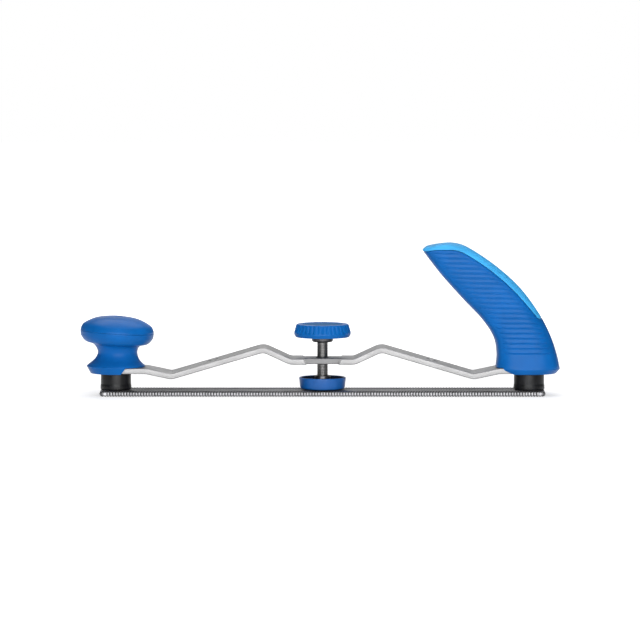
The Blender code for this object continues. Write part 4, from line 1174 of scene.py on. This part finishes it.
class HOLDER_OT_cup(Operator):
    """Builds the open thrust cup and the steel socket that the screw turns in"""

    bl_idname = "holder.cup"
    bl_label = "Thrust cup"

    def execute(self, context):
        sizes = context.scene.holder_cup
        bottom, top = node_heights("thrust_cup")
        rim, socket = node_radius("thrust_cup"), node_radius("cup_hub")
        base, floor = rim - sizes.flare, bottom + sizes.floor
        profile = [
            (socket - SEAT, bottom, 0),
            (base, bottom, sizes.base_edge),
            (rim, top, sizes.rim_edge),
            (rim - sizes.wall, top, sizes.rim_edge),
            (base - sizes.wall, floor, sizes.base_edge / 2),
            (socket - SEAT, floor, 0),
        ]
        cup = turned_object("thrust_cup_shell", profile, SPINDLE_X, steps=6, columns=112, ring=True)
        dress(cup, "blue_paint", "thrust_cup", "thrust_cup")

        bottom, top = node_heights("cup_hub")
        bore, foot, shoulder = SCREW_RADIUS + RUNNING, socket - 2 * SEAT, floor + SEAT / 3
        outer_edge, bore_edge = 0.5 * MM, 0.3 * MM
        screw_room = screw_shank("centre_file_screw") + SEAT
        web = node_heights("centre_file_screw")[1] + SEAT
        washer = node_heights("thrust_washer")[0]
        profile = [
            (0, web, 0),
            (screw_room, web, 0),
            (screw_room, bottom, 0),
            (foot, bottom, 0),
            (foot, shoulder, 0),
            (socket, shoulder, 0),
            (socket, top, outer_edge),
            (bore, top, bore_edge),
            (bore, washer, 0),
            (0, washer, 0),
        ]
        hub = turned_object("cup_socket", profile, SPINDLE_X, steps=3)
        dress(hub, "spring_steel", "cup_hub", "thrust_cup")
        return {"FINISHED"}


# Screw, collar and adjusting knob

FLUTE_COLUMNS = 12  # of the knob's grid in each flute
FLUTE_SHARPNESS = 2.5  # a higher power makes the flutes narrower


def threaded(sizes, low, high, columns=44):
    """A thread as rows that climb: a point's height is its row's height plus the pitch times its share of a
    turn, and its radius falls from the crest by the row's depth. Heights are held to the thread's ends,
    where the depth is full."""
    profile = np.array(THREAD)
    turns = math.ceil((high - low) / sizes.pitch) + 2
    start = (np.arange(-1, turns)[:, None] + profile[:, 0]).ravel() * sizes.pitch + low
    depth = np.tile(profile[:, 1], turns + 1)[:, None]
    share_of_turn = np.arange(columns) / columns
    height = start[:, None] + sizes.pitch * share_of_turn
    run_out = 1 - smooth_step(np.minimum(height - low, high - height) / sizes.run_out)
    radius = SCREW_RADIUS - np.maximum(depth, run_out) * sizes.thread_depth
    around = math.tau * share_of_turn
    x, y = SPINDLE_X + radius * np.cos(around), radius * np.sin(around)
    return np.stack([x, y, np.clip(height, low, high)], axis=-1)


def fluted_knob(sizes):
    """The adjusting knob: a turned profile whose radius is drawn in by narrow flutes, strongest at half its
    height and fading at the lip and the upper edge. A flute's section is a power of one wave of a cosine."""
    bottom, high = node_heights("adjusting_knob")
    widest = node_radius("adjusting_knob")
    top = widest - sizes.knob_taper
    cover = node_radius("knob_cover") + SEAT / 2
    cover_bottom, cover_top = node_heights("knob_cover")
    lip = bottom + sizes.knob_lip
    floor = high - sizes.cover_recess - (cover_top - cover_bottom)
    # each corner's radius, height and rounding
    corners = [
        (0, bottom, 0),
        (widest - sizes.lip_slant, bottom, 0.5 * MM),
        (widest, lip, 1.2 * MM),
        (widest, lip + sizes.knob_band, 3 * MM),
        (top, high, sizes.knob_edge),
        (cover, high, 0.4 * MM),
        (cover, floor, 0),
        (0, floor, 0),
    ]
    side = filleted(corners, 8)
    knots = run_lengths(side)
    fine = np.unique(np.concatenate([knots, np.arange(0, knots[-1], 0.5 * MM)]))
    radius, z = (np.interp(fine, knots, side[:, i]) for i in (0, 1))
    columns = sizes.flutes * FLUTE_COLUMNS
    grid = turned(np.column_stack([radius, z]), SPINDLE_X, columns)
    flute = (0.5 + 0.5 * np.cos(sizes.flutes * full_turn(columns))) ** FLUTE_SHARPNESS
    above_lip = fade_in(z - lip, start=0.6 * MM, reach=2 * MM)
    below_rim = fade_in(high - z, start=0.2 * MM, reach=1.2 * MM)
    outside = fade_in(radius - top, start=-2 * MM, reach=1.5 * MM)
    strength = (above_lip * below_rim * outside)[:, None]
    drawn = 1 - sizes.flute_depth * strength * flute / np.maximum(radius, MM)[:, None]
    grid[..., 0] = SPINDLE_X + (grid[..., 0] - SPINDLE_X) * drawn
    grid[..., 1] *= drawn
    return grid


class HOLDER_OT_adjuster(Operator):
    """Builds the threaded screw, its collar, the fluted knob and the cover in its top"""

    bl_idname = "holder.adjuster"
    bl_label = "Adjusting screw"

    def execute(self, context):
        sizes = context.scene.holder_adjuster
        thread = threaded(sizes, *node_heights("spindle"))
        screw = grid_object("screw_spindle", thread, climb=len(THREAD))
        dress(screw, "bright_steel", "spindle", "adjuster")

        bottom, top = node_heights("knob_hub")[0], node_heights("adjusting_knob")[0]
        outer, bevel = node_radius("knob_hub") + sizes.edge, 1 * MM
        profile = [(0, bottom, 0), (outer - bevel, bottom, 0.3 * MM), (outer, bottom + bevel, 0.5 * MM)]
        profile += [(outer, top, 0), (0, top, 0)]
        collar = turned_object("screw_collar", profile, SPINDLE_X, steps=4)
        dress(collar, "spring_steel", "knob_hub", "adjuster")

        dress(grid_object("turn_knob", fluted_knob(sizes)), "blue_plastic", "adjusting_knob", "adjuster")

        bottom, top = node_heights("knob_cover")
        outer, dish = node_radius("knob_cover"), top - sizes.cover_dish
        border, slope = outer - sizes.cover_border, 0.6 * MM
        profile = [(0, bottom, 0), (outer, bottom, 0), (outer, top, 0.3 * MM)]
        profile += [(border, top, 0), (border - slope, dish, 0), (0, dish, 0)]
        cover = turned_object("turn_knob_cover", profile, SPINDLE_X, steps=4, columns=96)
        dress(cover, "grey_cover", "knob_cover", "adjuster")
        return {"FINISHED"}


# Screws and hidden fittings

SOCKET_WIDTH = 0.736  # width of a screw's socket across its flats, as a share of the head's radius
SOCKET_FACE = 0.72  # radius where the head's face ends, as a share of the head's
HIDDEN_FITTINGS = {
    "front_knob_insert": "brass",
    "rear_handle_insert": "brass",
    "thrust_washer": "brass",
    "spindle_clip": "spring_steel",
    "front_buffer_stud": "bright_steel",
    "rear_buffer_stud": "bright_steel",
    "front_buffer_socket": "bright_steel",
    "rear_buffer_socket": "bright_steel",
}


def socket_screw(screw, columns=72):
    """A countersunk screw, head down: a turned head, cone and shank with a six-sided socket in the head. A
    hexagon's radius is half its width over the cosine of the angle from the middle of the nearest side."""
    x = node_middle(screw)
    face, tip = node_heights(screw)
    head, shank = node_radius(screw), screw_shank(screw)
    bevel, rim = 0.4 * MM, 0.25 * MM
    profile = [(0, tip), (shank - bevel, tip), (shank, tip - bevel), (shank, face + head - shank)]
    profile += [(head, face + rim), (head - rim, face), (SOCKET_FACE * head, face)]
    turn = full_turn(columns)
    hexagon = SOCKET_WIDTH * head / 2 / np.cos((turn % (math.pi / 3)) - math.pi / 6)
    width, height = np.array(SOCKET).T[..., None]
    radius, z = width * hexagon, face + height * MM + 0 * turn
    socket = np.stack([x + radius * np.cos(turn), radius * np.sin(turn), z], axis=-1)
    return np.concatenate([turned(profile, x, columns), socket])


class HOLDER_OT_screws(Operator):
    """Builds the three countersunk screws that hold the blade"""

    bl_idname = "holder.screws"
    bl_label = "Blade screws"

    def execute(self, context):
        for end, body in (("front", "frame"), ("centre", "thrust_cup"), ("rear", "frame")):
            screw = f"{end}_file_screw"
            piece = grid_object(f"blade_{end}_screw", socket_screw(screw))
            dress(piece, "bright_steel", screw, body)
        return {"FINISHED"}


class HOLDER_OT_fittings(Operator):
    """Gives the fittings inside the knob, handle, buffers and cup their finishes"""

    bl_idname = "holder.fittings"
    bl_label = "Hidden fittings"

    def execute(self, context):
        for fitting, slot in HIDDEN_FITTINGS.items():
            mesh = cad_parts[fitting].data
            mesh.materials.clear()
            mesh.materials.append(finish(slot))
        return {"FINISHED"}


# Stage

FLOOR_REACH = 5.0
FLOOR_STEP = 3 * MM
FLOOR_WHITE = (0.2, 0.7)  # how far from the object the floor starts to whiten, and is wholly white
BACKDROP_Y = 4.2
BACKDROP_HALF_WIDTH = 1.2
BACKDROP_HEIGHT = 1.8
SENSOR_WIDTH = 36.0
CLIP_END = 50.0
# each lamp's place, the point that it faces if that isn't the camera's aim, its width, its height and the
# setting that gives its power
LAMPS = {
    "front_card": ((0.2, -2.2, 0.9), (0.2, 0, 0.9), 2.4, 1.8, "front"),
    "key_light": ((0.03, -1.1, 0.18), None, 1.1, 0.36, "key"),
    "overhead_light": ((0.0, -0.3, 1.6), (0.0, -0.3, 0), 1.8, 1.4, "fill"),
    "rear_light": ((0.0, 1.3, 1.7), None, 1.6, 1.0, "rear"),
}


def stage_sheet(name, near, far, material):
    """A sheet of the stage between two lines of as many points each."""
    count = len(near)
    here = np.arange(count - 1)
    quads = np.stack([here, here + 1, here + 1 + count, here + count], axis=-1)
    mesh = bpy.data.meshes.new(name)
    mesh.from_pydata(np.concatenate([near, far]).tolist(), [], quads.tolist())
    mesh.shade_smooth()
    mesh.materials.append(material)
    sheet = linked(name, mesh)
    return sheet


def floor_half(name, rear, material):
    """Half of the floor, from the screw's axis outwards, with close rows as far as the tool reaches."""
    reach = np.append(np.arange(0, BLADE_END, FLOOR_STEP), FLOOR_REACH)
    x = SPINDLE_X + reach if rear else SPINDLE_X - reach[::-1]
    near = np.column_stack([x, np.full(len(x), -FLOOR_REACH), np.zeros(len(x))])
    far = near * (1, 0, 1) + (0, BACKDROP_Y, 0)
    follow_cup(stage_sheet(name, near, far, material))


def seen_rays(tree):
    """1 for rays from the camera, from reflections and through glass, and 0 for light."""
    path = tree.nodes.new("ShaderNodeLightPath").outputs
    seen = maths(tree, "MAXIMUM", path["Is Camera Ray"], path["Is Glossy Ray"])
    return maths(tree, "MAXIMUM", seen, path["Is Transmission Ray"])


def floor_finish(lift):
    """White matt floor that looks brighter than it is lit: a little near the object, so that its shadow
    stays, and wholly white further off."""
    values = {"Base Color": (0.9, 0.9, 0.9, 1), "Emission Color": (1, 1, 1, 1)}
    values.update({"Roughness": 0.9, "Specular IOR Level": 0.1})
    material, tree, shader = new_finish("studio_floor", values)
    away = vector_maths(tree, "LENGTH", place(tree), output="Value")
    glow = maths(tree, "MULTIPLY", scaled(tree, away, lift, 1.0, *FLOOR_WHITE), seen_rays(tree))
    tree.links.new(glow, shader.inputs["Emission Strength"])
    return material


def backdrop_finish(strength):
    """White to the camera, to reflections and through glass, and dark as a light."""
    material, tree, shader = new_finish("studio_backdrop", {})
    tree.nodes.remove(shader)
    emission = node(tree, "Emission", {"Strength": maths(tree, "MULTIPLY", seen_rays(tree), strength)})
    tree.links.new(emission, tree.nodes["Material Output"].inputs["Surface"])
    return material


def facing(direction):
    """The turn of a lamp or camera that looks along a direction."""
    return direction.to_track_quat("-Z", "Y").to_euler()


def softbox(name, place_at, aim, width, height, power):
    """A rectangular lamp that faces a point."""
    data = bpy.data.lights.new(name, "AREA")
    data.shape = "RECTANGLE"
    data.size, data.size_y = width, height
    data.energy = power
    lamp = linked(name, data)
    lamp.location = place_at
    lamp.rotation_euler = facing(Vector(aim) - Vector(place_at))


class HOLDER_OT_stage(Operator):
    """Sets up the floor, the white backdrop, the soft lights and the camera"""

    bl_idname = "holder.stage"
    bl_label = "Studio"

    def execute(self, context):
        settings = context.scene.holder_stage
        floor = floor_finish(settings.floor_lift)
        floor_half("studio_floor_front", False, floor)
        floor_half("studio_floor_rear", True, floor)
        foot = np.array([(-BACKDROP_HALF_WIDTH, BACKDROP_Y, 0), (BACKDROP_HALF_WIDTH, BACKDROP_Y, 0)])
        white = backdrop_finish(settings.backdrop)
        stage_sheet("studio_backdrop", foot, foot + (0, 0, BACKDROP_HEIGHT), white)
        aim = Vector(settings.aim)
        for name, (place_at, faced, width, height, power) in LAMPS.items():
            softbox(name, place_at, faced or aim, width, height, getattr(settings, power))

        world = bpy.data.worlds.new("studio_room")
        world.use_nodes = True
        background = world.node_tree.nodes["Background"]
        background.inputs["Color"].default_value = (1, 1, 1, 1)
        background.inputs["Strength"].default_value = settings.room
        context.scene.world = world
        context.scene.view_settings.view_transform = "Standard"

        data = bpy.data.cameras.new("photo_camera")
        data.lens = settings.lens
        data.sensor_width = SENSOR_WIDTH
        data.clip_end = CLIP_END
        camera = linked("photo_camera", data)
        back = Vector((0, -math.cos(settings.elevation), math.sin(settings.elevation)))
        camera.location = aim + back * settings.distance
        camera.rotation_euler = facing(-back)
        context.scene.camera = camera
        return {"FINISHED"}


# Add-on

OPERATORS = (
    HOLDER_OT_stage,
    HOLDER_OT_blade,
    HOLDER_OT_bar,
    HOLDER_OT_front_knob,
    HOLDER_OT_rear_handle,
    HOLDER_OT_buffers,
    HOLDER_OT_cup,
    HOLDER_OT_adjuster,
    HOLDER_OT_screws,
    HOLDER_OT_fittings,
)


class HOLDER_PT_panel(Panel):
    """Lists the builders and their settings"""

    bl_idname = "HOLDER_PT_panel"
    bl_label = "Body file holder"
    bl_space_type = "VIEW_3D"
    bl_region_type = "UI"
    bl_category = "File holder"

    def draw(self, context):
        for operator in OPERATORS:
            self.layout.operator(operator.bl_idname)
        for name, group in SETTINGS.items():
            box = self.layout.box()
            box.label(text=group.__doc__)
            for key in group.__annotations__:
                box.prop(getattr(context.scene, name), key)


CLASSES = (*SETTINGS.values(), *OPERATORS, HOLDER_PT_panel)


def register():
    """Adds the classes and hangs the settings on the scene."""
    for cls in CLASSES:
        bpy.utils.register_class(cls)
    for name, group in SETTINGS.items():
        setattr(bpy.types.Scene, name, PointerProperty(type=group))


def unregister():
    """Takes the settings and the classes away again."""
    for name in SETTINGS:
        delattr(bpy.types.Scene, name)
    for cls in reversed(CLASSES):
        bpy.utils.unregister_class(cls)


def main():
    """Registers the add-on and builds the studio and every piece."""
    register()
    for operator in OPERATORS:
        group, name = operator.bl_idname.split(".")
        getattr(getattr(bpy.ops, group), name)()


if __name__ == "__main__":
    main()
